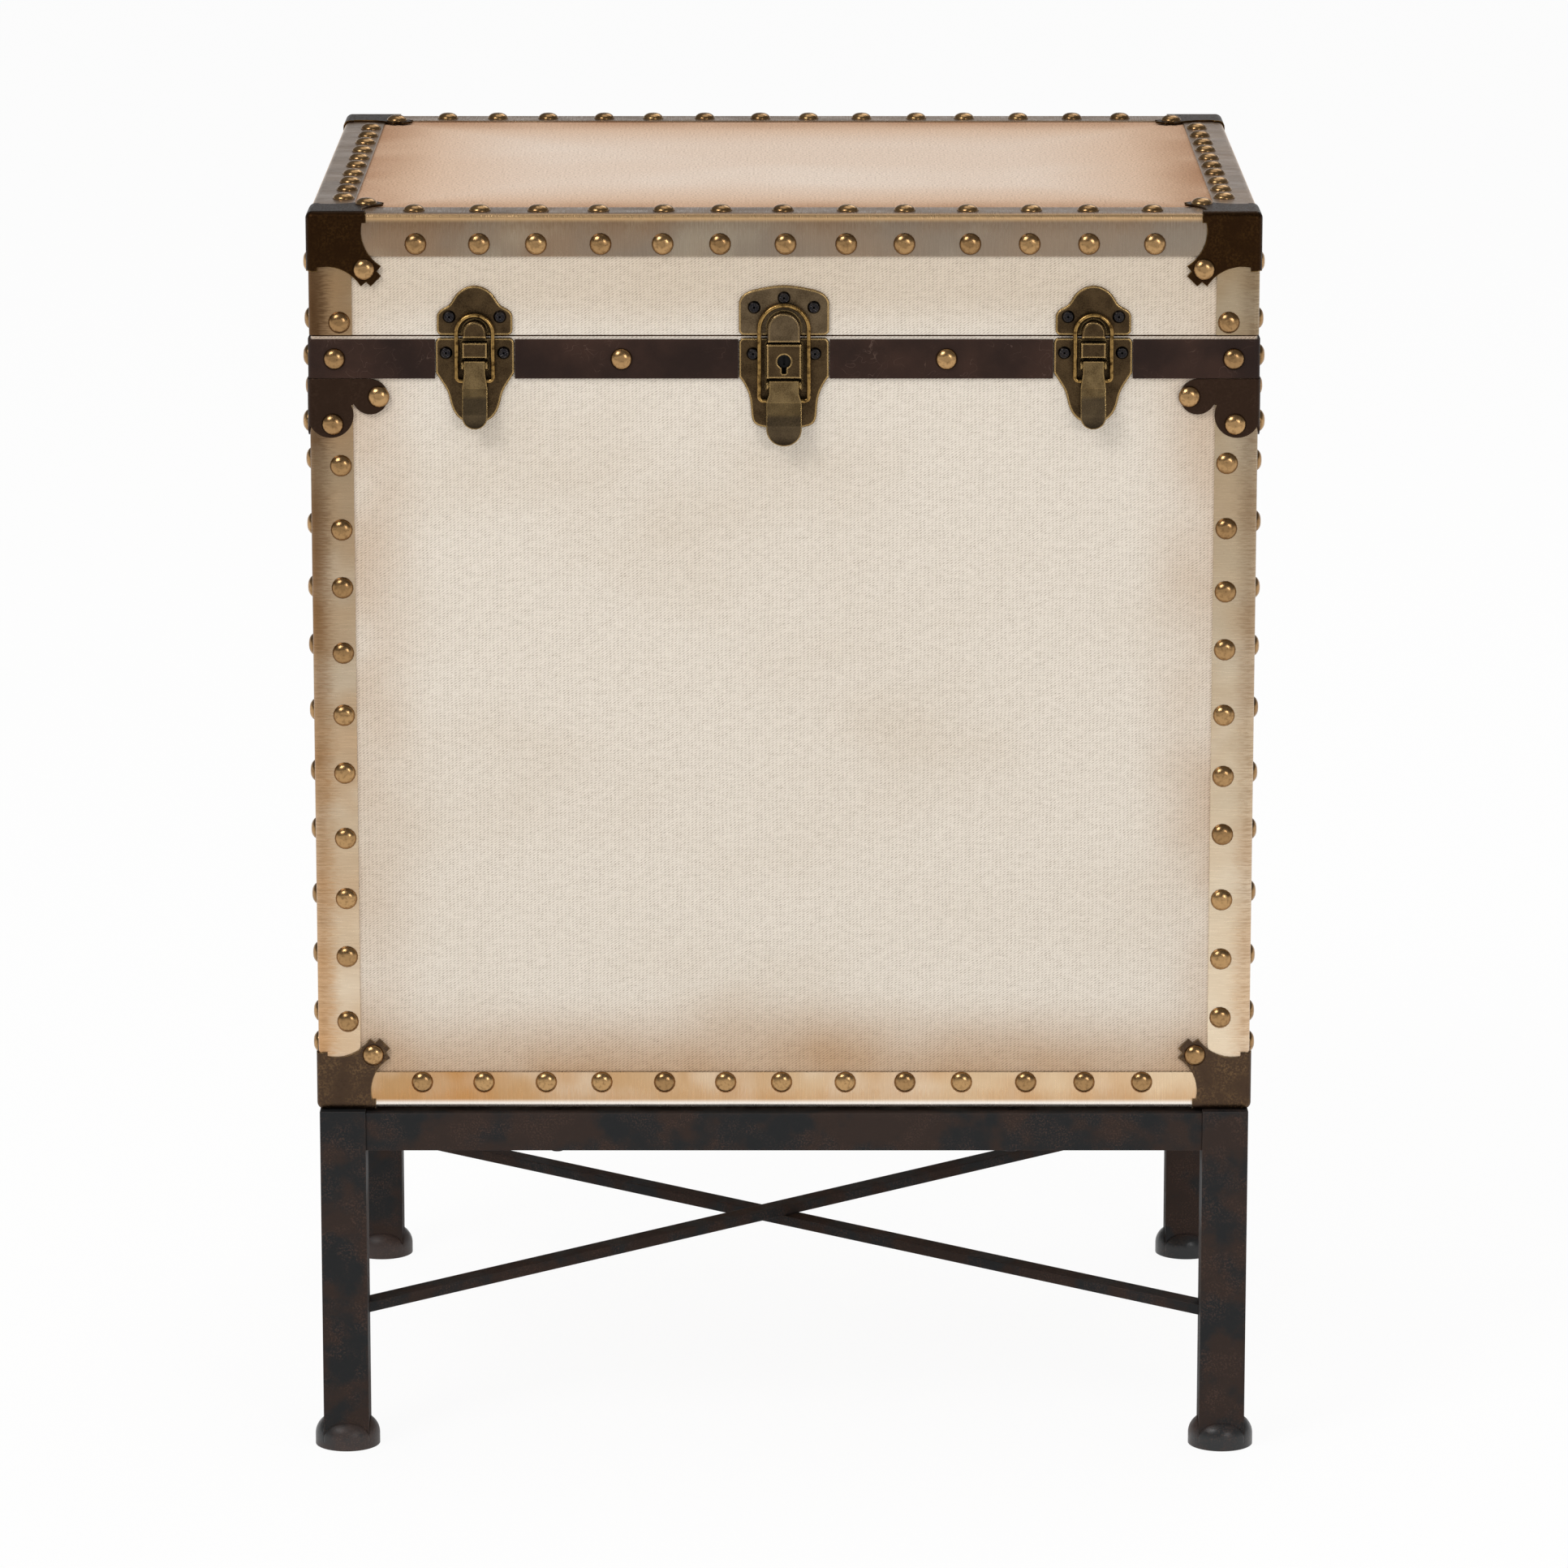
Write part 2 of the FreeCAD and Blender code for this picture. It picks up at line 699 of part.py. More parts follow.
def stretchers(leg_blocks):
    """Two flat bars from leg to leg, the upper one rising to the back across the lower."""
    run_x = stand_width - size.leg_side
    run_y = stand_depth - size.leg_side
    length = math.hypot(run_x, run_y)
    angle = math.degrees(math.atan2(run_y, run_x))
    tilt = math.atan2(size.bar_rise, length)
    clear = size.bar_width * math.tan(tilt)
    for name, turn, level, pitch in (
        ("stretcher_upper", angle, size.bar_level + clear, -math.degrees(tilt)),
        ("stretcher_lower", -angle, size.bar_level - size.bar_sheet, 0),
    ):
        bar = doc.addObject("Part::Box", name + "_bar")
        bind(bar, "Width", "bar_width")
        bind(bar, "Height", "bar_sheet")
        bar.Length = length
        lean = Rotation(Vector(0, 1, 0), pitch)
        centre = Placement(Vector(0, 0, level), Rotation(Vector(0, 0, 1), turn).multiply(lean))
        bar.Placement = centre.multiply(Placement(Vector(-length / 2, -size.bar_width / 2, 0), Rotation()))
        node(cut(name, bar, leg_blocks))


# Nails and screws
def turned(*points):
    """A shape turned about +Z from its half outline, closed along the axis."""
    return Part.Face(outline(*points)).revolve(Vector(0, 0, 0), Vector(0, 0, 1), math.degrees(2 * math.pi))


def nail_shape():
    """A domed nail with its head on the plane and its shank below it."""
    head = size.nail_head
    shank = size.nail_shank
    rim_height = size.nail_rim
    dome = size.nail_rise - rim_height
    radius = (head**2 + dome**2) / (2 * dome)
    half = math.asin(head / radius) / 2
    middle = Vector(radius * math.sin(half), 0, size.nail_rise - radius * (1 - math.cos(half)))
    return turned(
        Vector(0, 0, -size.nail_length),
        Vector(shank, 0, -size.nail_length),
        Vector(shank, 0, 0),
        Vector(head, 0, 0),
        Vector(head, 0, rim_height),
        (middle, Vector(0, 0, size.nail_rise)),
    )


def screw_shape(head, rise, shank, length, cross, cross_depth):
    """A cross-head screw with its head on the plane and its shank below it."""
    body = turned(
        Vector(0, 0, -length),
        Vector(shank, 0, -length),
        Vector(shank, 0, 0),
        Vector(head, 0, 0),
        Vector(head, 0, rise / 2),
        Vector(head - rise / 2, 0, rise),
        Vector(0, 0, rise),
    )
    arm = head - rise / 2
    bottom = rise - cross_depth
    wide = solid_box(Vector(-arm, -cross / 2, bottom), Vector(arm, cross / 2, rise + cross_depth))
    tall = solid_box(Vector(-cross / 2, -arm, bottom), Vector(cross / 2, arm, rise + cross_depth))
    return body.cut(wide.fuse(tall))


def set_out(shape, places):
    """Copies of a fastener at points, each facing its own way out."""
    copies = []
    for point, way_out in places:
        copy = shape.copy()
        copy.Placement = Placement(point, Rotation(Vector(0, 0, 1), way_out))
        copies.append(copy)
    return Part.makeCompound(copies)


def on_side(face, along, level, lift=0):
    """A point on an upright face of the trunk, lifted off its strips, and the way out."""
    wide = half_width + lift
    deep = half_depth + lift
    return {
        "front": (Vector(along, -deep, level), Vector(0, -1, 0)),
        "back": (Vector(along, deep, level), Vector(0, 1, 0)),
        "left": (Vector(-wide, along, level), Vector(-1, 0, 0)),
        "right": (Vector(wide, along, level), Vector(1, 0, 0)),
    }[face]


def spaced(count, low, high, seed):
    """Evenly set out places that wander a little, as hand-driven nails do."""
    step = (high - low) / (count - 1)
    places = []
    for number in range(count):
        wander = math.sin(seed + number * math.pi * WANDER_SHARE)
        places.append(low + step * number + size.nail_wander * wander)
    return places


def face_reach(face):
    """Half the length of an upright face, and how many nails a row on it has."""
    if face in ("front", "back"):
        return half_width, LID_ROW_NAILS
    return half_depth, SIDE_ROW_NAILS


def nails():
    """The domed nails along the strips, on the caps and on the band."""
    box = []
    lid = []
    cap = size.cap_sheet
    band_lift = size.band_sheet - size.strip_sheet
    band_level = band_base + size.band_height / 2
    clover_level = band_base - size.clover_gap
    faces = ("front", "back", "left", "right")
    for seed, face in enumerate(faces):
        reach, count = face_reach(face)
        row = reach - size.row_margin
        for along in spaced(count, -row, row, seed):
            lid.append(on_side(face, along, lid_top - size.nail_inset))
        for along in spaced(count, -row, row, seed + len(faces)):
            box.append(on_side(face, along, trunk_base + size.bottom_nail_inset))
        low = trunk_base + size.post_margin_low
        high = band_base - size.post_margin_high
        for side in (-1, 1):
            post = side * (reach - size.nail_inset)
            for level in spaced(POST_NAILS, low, high, seed + side):
                box.append(on_side(face, post, level))
            lid.append(on_side(face, post, lid_base + size.lid_nail_height))
            capped = side * (reach - size.cap_nail_inset)
            box.append(on_side(face, capped, trunk_base + size.cap_nail_inset, cap))
            lid.append(on_side(face, capped, lid_top - size.cap_nail_inset, cap))
            wide = side * (reach - size.clover_wide - size.clover_nail_shift)
            box.append(on_side(face, wide, clover_level - size.clover_small_round, cap))
            tall = side * (reach - size.clover_large_round)
            box.append(on_side(face, tall, clover_level - size.clover_tall * CLOVER_NAIL_SHARE, cap))
            box.append(on_side(face, side * (reach - size.band_nail_inset), band_level, band_lift))
        between = catch_offset - size.band_nail_reach
        box.append(on_side(face, -between, band_level, band_lift))
        box.append(on_side(face, between, band_level, band_lift))
    up = Vector(0, 0, 1)
    for side, count in ((-1, TOP_FRONT_NAILS), (1, TOP_BACK_NAILS)):
        row = half_width - size.row_margin
        for along in spaced(count, -row, row, side):
            lid.append((Vector(along, side * (half_depth - size.top_nail_inset), lid_top), up))
        row = half_depth - size.row_margin
        for along in spaced(SIDE_ROW_NAILS, -row, row, side):
            lid.append((Vector(side * (half_width - size.top_side_nail_inset), along, lid_top), up))
    inset = size.cap_nail_inset
    for x, y in corner_frames():
        lid.append((Vector(x * (half_width - inset), y * (half_depth - inset), lid_top + cap), up))
    nail = nail_shape()
    feature("box_nails", set_out(nail, box))
    feature("lid_nails", set_out(nail, lid))


def latch_places():
    """Each catch's kind, name and distance along the front."""
    return (
        ("catch", "left", -catch_offset),
        ("lock", "centre", 0),
        ("catch", "right", catch_offset),
    )


def hinge_screw_places(up):
    """Screws of the two hinges' leaves above or below the seam."""
    places = []
    level = seam + up * size.leaf_height * HINGE_SCREW_SHARE
    back = canvas_front + size.leaf_sheet
    for side in (-1, 1):
        for step in (-1, 0, 1):
            x = side * hinge_offset + step * size.hinge_screw_offset
            places.append((Vector(x, back, level), Vector(0, 1, 0)))
    return places


def screws():
    """The screws of the plates, the strikes, the hinges and the stand."""
    screw = screw_shape(
        size.screw_head,
        size.screw_rise,
        size.screw_shank,
        size.screw_length,
        size.screw_cross,
        size.screw_cross_depth,
    )
    box = hinge_screw_places(-1)
    lid = hinge_screw_places(1)
    face = -canvas_front - size.plate_sheet
    for kind, _, x in latch_places():
        piece = latch_sizes(kind)
        for u, v in STRIKE_SCREW_SHARES[kind]:
            lid.append((Vector(x + u * piece.strike_half, face, seam + v * piece.strike_rise), front))
        for u, v in PLATE_SCREW_SHARES[kind]:
            box.append((Vector(x + u * piece.plate_half, face, seam - v * piece.plate_drop), front))
    feature("box_screws", set_out(screw, box))
    feature("lid_screws", set_out(screw, lid))

    length = size.rail_height + size.rail_drop + size.cap_sheet + size.stand_screw_bite
    shape = screw_shape(
        size.stand_screw_head,
        size.stand_screw_rise,
        size.stand_screw_shank,
        length,
        size.screw_cross,
        size.screw_cross_depth,
    )
    level = size.stand_height - size.rail_drop - size.rail_height
    x = stand_width / 2 - size.stand_screw_inset
    y = stand_depth / 2 - size.rail_setback - size.rail_depth / 2
    down = Vector(0, 0, -1)
    spots = [(i * x, j * y) for i in (-1, 1) for j in (-1, 1)]
    feature("stand_screws", set_out(shape, [(Vector(i, j, level), down) for i, j in spots]))


# Catches. Each is drawn about its own point on the seam, with depth d out of the canvas.
def latch_sizes(kind):
    """One kind of catch's own sizes, with the kind's name left off."""
    names = [name for name in SIZES if name.startswith(kind + "_")]
    return SimpleNamespace(**{name[len(kind) + 1:]: getattr(size, name) for name in names})


def local(x, d, z):
    """A point of a catch from its width, depth and height."""
    return Vector(x, -d, z)


def plate_outline(half, edge, height, up, shares):
    """A plate's outline: a straight edge at the seam, rounded corners, a shaped end."""
    corner = size.plate_corner
    turn = corner * (1 - math.sqrt(0.5))
    right = [local(half * u, 0, up * height * v) for u, v in shares]
    left = [local(-point.x, 0, point.z) for point in right[-2::-1]]
    end = Part.BSplineCurve()
    end.interpolate(right + left)
    inner = local(half - corner, 0, up * edge)
    outer = local(half, 0, up * (edge + corner))
    bend = local(half - turn, 0, up * (edge + turn))
    flip = [local(-point.x, 0, point.z) for point in (inner, bend, outer)]
    edges = [
        Part.makeLine(flip[0], inner),
        Part.Arc(inner, bend, outer).toShape(),
        Part.makeLine(outer, right[0]),
        end.toShape(),
        Part.makeLine(left[-1], flip[2]),
        Part.Arc(flip[2], flip[1], flip[0]).toShape(),
    ]
    return Part.Wire(edges)


def soften(shape, depth, radius):
    """Round a shape's edges that lie on one depth of a catch."""
    def on_depth(edge):
        box = edge.BoundBox
        return abs(box.YMin + depth) + abs(box.YMax + depth) < radius / 2

    return shape.makeFillet(radius, [edge for edge in shape.Edges if on_depth(edge)])


def drill(shape, places):
    """Clearance holes through a plate for its screws."""
    for u, v in places:
        start = local(u, -size.overrun, v)
        reach = size.plate_sheet + 2 * size.overrun
        shape = shape.cut(Part.makeCylinder(size.screw_shank + size.screw_gap, reach, start, front))
    return shape


def strike(kind, piece):
    """The lid's half of a catch: a plate with a round-topped tongue for the bail."""
    lift = size.strike_lift
    plate = prism(
        plate_outline(piece.strike_half, lift, piece.strike_rise, 1, STRIKE_SHARES[kind]),
        front * size.plate_sheet,
    )
    plate = soften(plate, size.plate_sheet, size.plate_round)
    places = [(u * piece.strike_half, v * piece.strike_rise) for u, v in STRIKE_SCREW_SHARES[kind]]
    plate = drill(plate, places)
    half = piece.tongue_half
    spring = piece.tongue_rise - half
    start = size.plate_sheet + size.tongue_gap
    tongue = prism(
        outline(
            local(-half, start, -piece.tongue_drop),
            local(half, start, -piece.tongue_drop),
            local(half, start, spring),
            (local(0, start, piece.tongue_rise), local(-half, start, spring)),
        ),
        front * (size.tongue_front - start),
    )
    tongue = soften(tongue, size.tongue_front, size.tongue_round)
    root = prism(
        outline(
            local(-half, 0, lift),
            local(half, 0, lift),
            local(half, 0, spring),
            (local(0, 0, piece.tongue_rise), local(-half, 0, spring)),
        ),
        front * start,
    )
    return plate.fuse([root, tongue])


def pivot_hole(x_low, x_high, piece, drop, radius):
    """A cylinder across a catch at its pivot or at the bail's ends."""
    start = local(x_low, size.pivot_depth, -piece.pivot_drop - drop)
    return Part.makeCylinder(radius, x_high - x_low, start, Vector(1, 0, 0))


def base_plate(kind, piece):
    """The box's half of a catch: a plate, a raised bridge and two ears for the pivot."""
    plate = prism(
        plate_outline(piece.plate_half, size.plate_gap, piece.plate_drop, -1, PLATE_SHARES[kind]),
        front * size.plate_sheet,
    )
    plate = soften(plate, size.plate_sheet, size.plate_round)
    places = [(u * piece.plate_half, -v * piece.plate_drop) for u, v in PLATE_SCREW_SHARES[kind]]
    plate = drill(plate, places)
    half = piece.bridge_half
    top = -piece.tongue_drop - piece.bridge_gap
    bottom = -piece.pivot_drop + size.lever_swing + size.lever_gap
    low = local(-half, piece.bridge_front, bottom)
    bridge = soften(solid_box(low, local(half, 0, top)), piece.bridge_front, size.plate_round)
    shape = plate.fuse(bridge)
    ear = size.pin_round + size.ear_margin
    near = piece.lever_half + size.lever_gap
    far = near + size.ear_wall
    for x_low, x_high in ((-far, -near), (near, far)):
        post_low = local(x_low, size.pivot_depth, -piece.pivot_drop - ear)
        post_high = local(x_high, 0, -piece.pivot_drop + ear)
        shape = shape.fuse([solid_box(post_low, post_high), pivot_hole(x_low, x_high, piece, 0, ear)])
    return shape.cut(pivot_hole(-far, far, piece, 0, size.pin_round + size.pin_gap))


def keyhole(piece):
    """The lock's round bore, its slot below, and the bore's centre."""
    top = -piece.tongue_drop - piece.bridge_gap
    bottom = -piece.pivot_drop + size.lever_swing + size.lever_gap
    centre = (top + bottom) / 2
    depth = piece.bridge_front
    bore = Part.makeCylinder(
        size.plug_round + size.plug_gap,
        depth - size.plate_sheet + size.overrun,
        local(0, size.plate_sheet, centre),
        front,
    )
    half = size.keyhole_slot / 2
    low = local(-half, depth + size.overrun, centre - size.keyhole_drop)
    slot = solid_box(low, local(half, depth - size.plug_recess, centre))
    return bore.fuse(slot), centre


def key_plug(piece):
    """The turning plug at the bottom of the keyhole, with its key slot."""
    centre = keyhole(piece)[1]
    top = piece.bridge_front - size.plug_recess
    plug = Part.makeCylinder(
        size.plug_round, top - size.plate_sheet, local(0, size.plate_sheet, centre), front
    )
    half = size.key_slot / 2
    tall = size.plug_round - size.key_slot
    low = local(-half, top + size.overrun, centre - tall)
    return plug.cut(solid_box(low, local(half, top - size.key_slot_depth, centre + tall)))


def lever(kind, piece):
    """A folded lever: a web that flares at its tip, two flanges and their bores."""
    share = LEVER_SHARES[kind]
    pivot = -piece.pivot_drop
    length = piece.lever_length
    outer = size.lever_front
    wall = size.lever_wall
    reach = outer - size.pivot_depth
    top = pivot + math.sqrt(size.lever_swing**2 - reach**2)
    fold = pivot - share.fold * length
    crown = pivot - share.crown * length
    tip = pivot - length
    half = piece.tip_half
    bulge = (crown + tip) / 2
    end = size.lever_tip_front - size.lever_curl
    side = outline(
        local(-half, outer, top),
        local(-half, outer, fold),
        local(-half, size.lever_tip_front, crown),
        (local(-half, size.lever_tip_front, bulge), local(-half, end, tip)),
        local(-half, end - wall, tip),
        (local(-half, size.lever_tip_front - wall, bulge), local(-half, size.lever_tip_front - wall, crown)),
        local(-half, outer - wall, fold),
        local(-half, outer - wall, top),
    )
    web = prism(side, Vector(2 * half, 0, 0))
    neck = piece.lever_half
    neck_end = pivot - share.neck * length
    round_start = tip + half
    shape = outline(
        local(-neck, 0, top),
        local(neck, 0, top),
        local(neck, 0, neck_end),
        local(half, 0, fold),
        local(half, 0, round_start),
        (local(0, 0, tip), local(-half, 0, round_start)),
        local(-half, 0, fold),
        local(-neck, 0, neck_end),
    )
    web = web.common(prism(shape, front * (size.lever_tip_front + size.overrun)))
    flange_base = pivot - size.bail_drop - size.flange_margin
    back = size.pivot_depth - reach
    for x_low, x_high in ((-neck, wall - neck), (neck - wall, neck)):
        low = local(x_low, outer - wall / 2, flange_base)
        flange = solid_box(low, local(x_high, back, pivot))
        web = web.fuse([flange, pivot_hole(x_low, x_high, piece, 0, reach)])
    web = web.cut(pivot_hole(-half, half, piece, 0, size.pin_round + size.pin_gap))
    return web.cut(pivot_hole(-half, half, piece, size.bail_drop, size.bail_wire + size.pin_gap))


def bail(piece):
    """A bent wire loop from the lever's flanges up round the tongue."""
    wire = size.bail_wire
    depth = size.pivot_depth
    leg = max(piece.tip_half, piece.bridge_half, piece.tongue_half) + piece.bail_clear + wire
    end = piece.lever_half - size.lever_wall - size.bail_end
    low = -piece.pivot_drop - size.bail_drop
    spring = piece.tongue_rise + piece.bail_clear + wire - leg
    bend = size.bail_bend
    turn = bend * (1 - math.sqrt(0.5))

    def at(x, z):
        return local(x, depth, z)

    edges = [
        Part.makeLine(at(end, low), at(leg - bend, low)),
        Part.Arc(at(leg - bend, low), at(leg - turn, low + turn), at(leg, low + bend)).toShape(),
        Part.makeLine(at(leg, low + bend), at(leg, spring)),
        Part.Arc(at(leg, spring), at(0, spring + leg), at(-leg, spring)).toShape(),
        Part.makeLine(at(-leg, spring), at(-leg, low + bend)),
        Part.Arc(at(-leg, low + bend), at(turn - leg, low + turn), at(bend - leg, low)).toShape(),
        Part.makeLine(at(bend - leg, low), at(-end, low)),
    ]
    section = Part.Wire(Part.makeCircle(wire, at(end, low), Vector(1, 0, 0)))
    return Part.Wire(edges).makePipeShell([section], True, False)


def latches():
    """The two side catches and the centre lock."""
    pins = []
    for kind, name, x in latch_places():
        piece = latch_sizes(kind)
        place = Placement(Vector(x, -canvas_front, seam), Rotation())
        plate = base_plate(kind, piece)
        if kind == "lock":
            plate = plate.cut(keyhole(piece)[0])
            feature("lock_plug", key_plug(piece), place)
        label = "lock_%s" if kind == "lock" else "catch_%%s_%s" % name
        feature(label % "plate", plate, place)
        feature(label % "strike", strike(kind, piece), place)
        feature(label % "lever", lever(kind, piece), place)
        feature(label % "bail", bail(piece), place)
        reach = piece.lever_half + size.lever_gap + size.ear_wall
        pin = pivot_hole(-reach, reach, piece, 0, size.pin_round)
        pin.translate(place.Base)
        pins.append(pin)
    feature("lever_pins", Part.makeCompound(pins))


# Hinges
def hinge_leaf(up, own):
    """One leaf of a hinge about the seam, with its knuckles and their bore."""
    back = Vector(0, 1, 0)
    sheet_depth = size.leaf_sheet
    start = size.knuckle_round + 2 * size.knuckle_gap
    levels = sorted((up * start, up * size.leaf_height))
    leaf = solid_box(Vector(-size.leaf_half, 0, levels[0]), Vector(size.leaf_half, sheet_depth, levels[1]))
    pitch = 2 * size.leaf_half / KNUCKLES
    axis = size.knuckle_round + size.knuckle_gap
    for number in own:
        low = -size.leaf_half + number * pitch + size.knuckle_gap / 2
        high = low + pitch - size.knuckle_gap
        levels = sorted((0, up * start))
        tab = solid_box(Vector(low, 0, levels[0]), Vector(high, sheet_depth, levels[1]))
        barrel = Part.makeCylinder(size.knuckle_round, high - low, Vector(low, axis, 0), Vector(1, 0, 0))
        leaf = leaf.fuse([tab, barrel])
    bore = Part.makeCylinder(
        size.hinge_pin_round + size.pin_gap,
        2 * size.leaf_half,
        Vector(-size.leaf_half, axis, 0),
        Vector(1, 0, 0),
    )
    leaf = leaf.cut(bore)
    level = up * size.leaf_height * HINGE_SCREW_SHARE
    for step in (-1, 0, 1):
        start_point = Vector(step * size.hinge_screw_offset, -size.overrun, level)
        radius = size.screw_shank + size.screw_gap
        leaf = leaf.cut(Part.makeCylinder(radius, sheet_depth + 2 * size.overrun, start_point, back))
    return leaf


def hinges():
    """The two hinges behind the trunk: box leaves, lid leaves and pins."""
    groups = {"hinge_box_leaves": [], "hinge_lid_leaves": [], "hinge_pins": []}
    axis = size.knuckle_round + size.knuckle_gap
    for side in (-1, 1):
        place = Vector(side * hinge_offset, canvas_front, seam)
        pin = Part.makeCylinder(
            size.hinge_pin_round,
            2 * size.leaf_half,
            Vector(-size.leaf_half, axis, 0),
            Vector(1, 0, 0),
        )
        shapes = (
            hinge_leaf(-1, range(0, KNUCKLES, 2)),
            hinge_leaf(1, range(1, KNUCKLES, 2)),
            pin,
        )
        for group, shape in zip(groups.values(), shapes):
            shape.translate(place)
            group.append(shape)
    for label, shapes in groups.items():
        feature(label, Part.makeCompound(shapes))


boards()
coverings()
strips()
caps_and_band()
stand()
nails()
screws()
latches()
hinges()
doc.recompute()

faults = [made.Label for made in doc.Objects if {"Invalid", "Error"} & set(made.State)]
for made in nodes:
    if made.Shape.isNull() or not made.Shape.isValid() or not made.Shape.Solids:
        faults.append(made.Label)
if faults:
    raise RuntimeError("these pieces failed: %s" % ", ".join(sorted(set(faults))))

os.makedirs("parts", exist_ok=True)
for made in nodes:
    made.Shape.exportStep("parts/%s.step" % made.Label)
print("%d pieces, %d solids" % (len(nodes), sum(len(made.Shape.Solids) for made in nodes)))
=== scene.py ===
"""Looks of a canvas storage trunk on a steel stand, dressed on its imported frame.

The frame gives every piece its place and size, in metres, with +Z up and the front at -Y. Patterns
are worked out in millimetres from the frame's own coordinates, so they keep their real scale.
"""

import logging
import math
from dataclasses import dataclass
from enum import Enum
from typing import Any, Optional, Union

import bmesh
import bpy
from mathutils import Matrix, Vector

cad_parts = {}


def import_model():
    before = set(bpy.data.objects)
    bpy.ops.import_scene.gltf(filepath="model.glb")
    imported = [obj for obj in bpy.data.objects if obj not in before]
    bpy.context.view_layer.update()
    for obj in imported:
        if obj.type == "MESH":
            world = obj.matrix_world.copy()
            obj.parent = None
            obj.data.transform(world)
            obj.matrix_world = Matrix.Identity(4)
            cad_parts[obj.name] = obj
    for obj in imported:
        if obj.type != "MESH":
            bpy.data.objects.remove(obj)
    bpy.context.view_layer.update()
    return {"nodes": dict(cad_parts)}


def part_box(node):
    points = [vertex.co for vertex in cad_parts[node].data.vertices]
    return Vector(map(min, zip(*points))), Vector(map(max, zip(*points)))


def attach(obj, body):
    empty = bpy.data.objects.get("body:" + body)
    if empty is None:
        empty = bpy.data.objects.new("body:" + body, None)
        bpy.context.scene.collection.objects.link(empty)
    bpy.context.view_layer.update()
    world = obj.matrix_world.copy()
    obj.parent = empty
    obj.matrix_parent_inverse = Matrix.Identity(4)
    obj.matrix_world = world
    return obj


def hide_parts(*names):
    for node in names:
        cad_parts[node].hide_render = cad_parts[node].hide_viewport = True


LOG = logging.getLogger("trunk")
MM = 0.001
# A wave texture runs through this angle for each unit of its scale.
WAVE_RADIANS = 20
# How well a rounded edge's normal matches the face, on the face and on a square edge.
FACE_MATCH = 0.995
EDGE_MATCH = 0.74
EDGE_SAMPLES = 8
SOFT = {"interpolation_type": "SMOOTHSTEP"}

Links = dict[Union[str, int], Any]
Pieces = dict[str, bpy.types.Object]
Triple = tuple[float, float, float]


def linear(colour: str, alpha: float = 1.0) -> tuple[float, float, float, float]:
    """Turn an sRGB hex colour into linear values.

    Args:
        colour: The colour, such as "#dcd1c3".
        alpha: The fourth value.

    Returns:
        Red, green, blue and alpha.
    """
    shares = [int(colour[i : i + 2], 16) / 255 for i in (1, 3, 5)]
    red, green, blue = (c / 12.92 if c <= 0.04045 else ((c + 0.055) / 1.055) ** 2.4 for c in shares)
    return red, green, blue, alpha


class Nodes:
    """A node tree that is filled one node at a time."""

    family = "ShaderNode"

    def __init__(self, tree: bpy.types.NodeTree) -> None:
        """Keep the tree."""
        self.tree = tree

    def add(self, kind: str, links: Optional[Links] = None, out: Union[int, str] = 0, **settings: Any) -> Any:
        """Add one node, with its settings, its values and its links.

        Args:
            kind: The node's type name, without the family that all nodes of the tree share.
            links: Inputs by name or number, as feed takes them.
            out: The output that is wanted, by name or number.
            settings: The node's own properties.

        Returns:
            The output socket, whose node holds the others, or None where a node has none.
        """
        node = self.tree.nodes.new(self.family + kind)
        for name, value in settings.items():
            setattr(node, name, value)
        self.feed(node, links or {})
        return node.outputs[out] if node.outputs else None

    def feed(self, node: bpy.types.Node, links: Links) -> None:
        """Link or set a node's inputs.

        Args:
            node: The node.
            links: Inputs by name or number. A socket is linked, a hex colour or a value is set.
        """
        for name, value in links.items():
            socket = node.inputs[name]
            if isinstance(value, bpy.types.NodeSocket):
                self.tree.links.new(value, socket)
            elif isinstance(value, str) and socket.type == "RGBA":
                socket.default_value = linear(value)
            else:
                socket.default_value = value


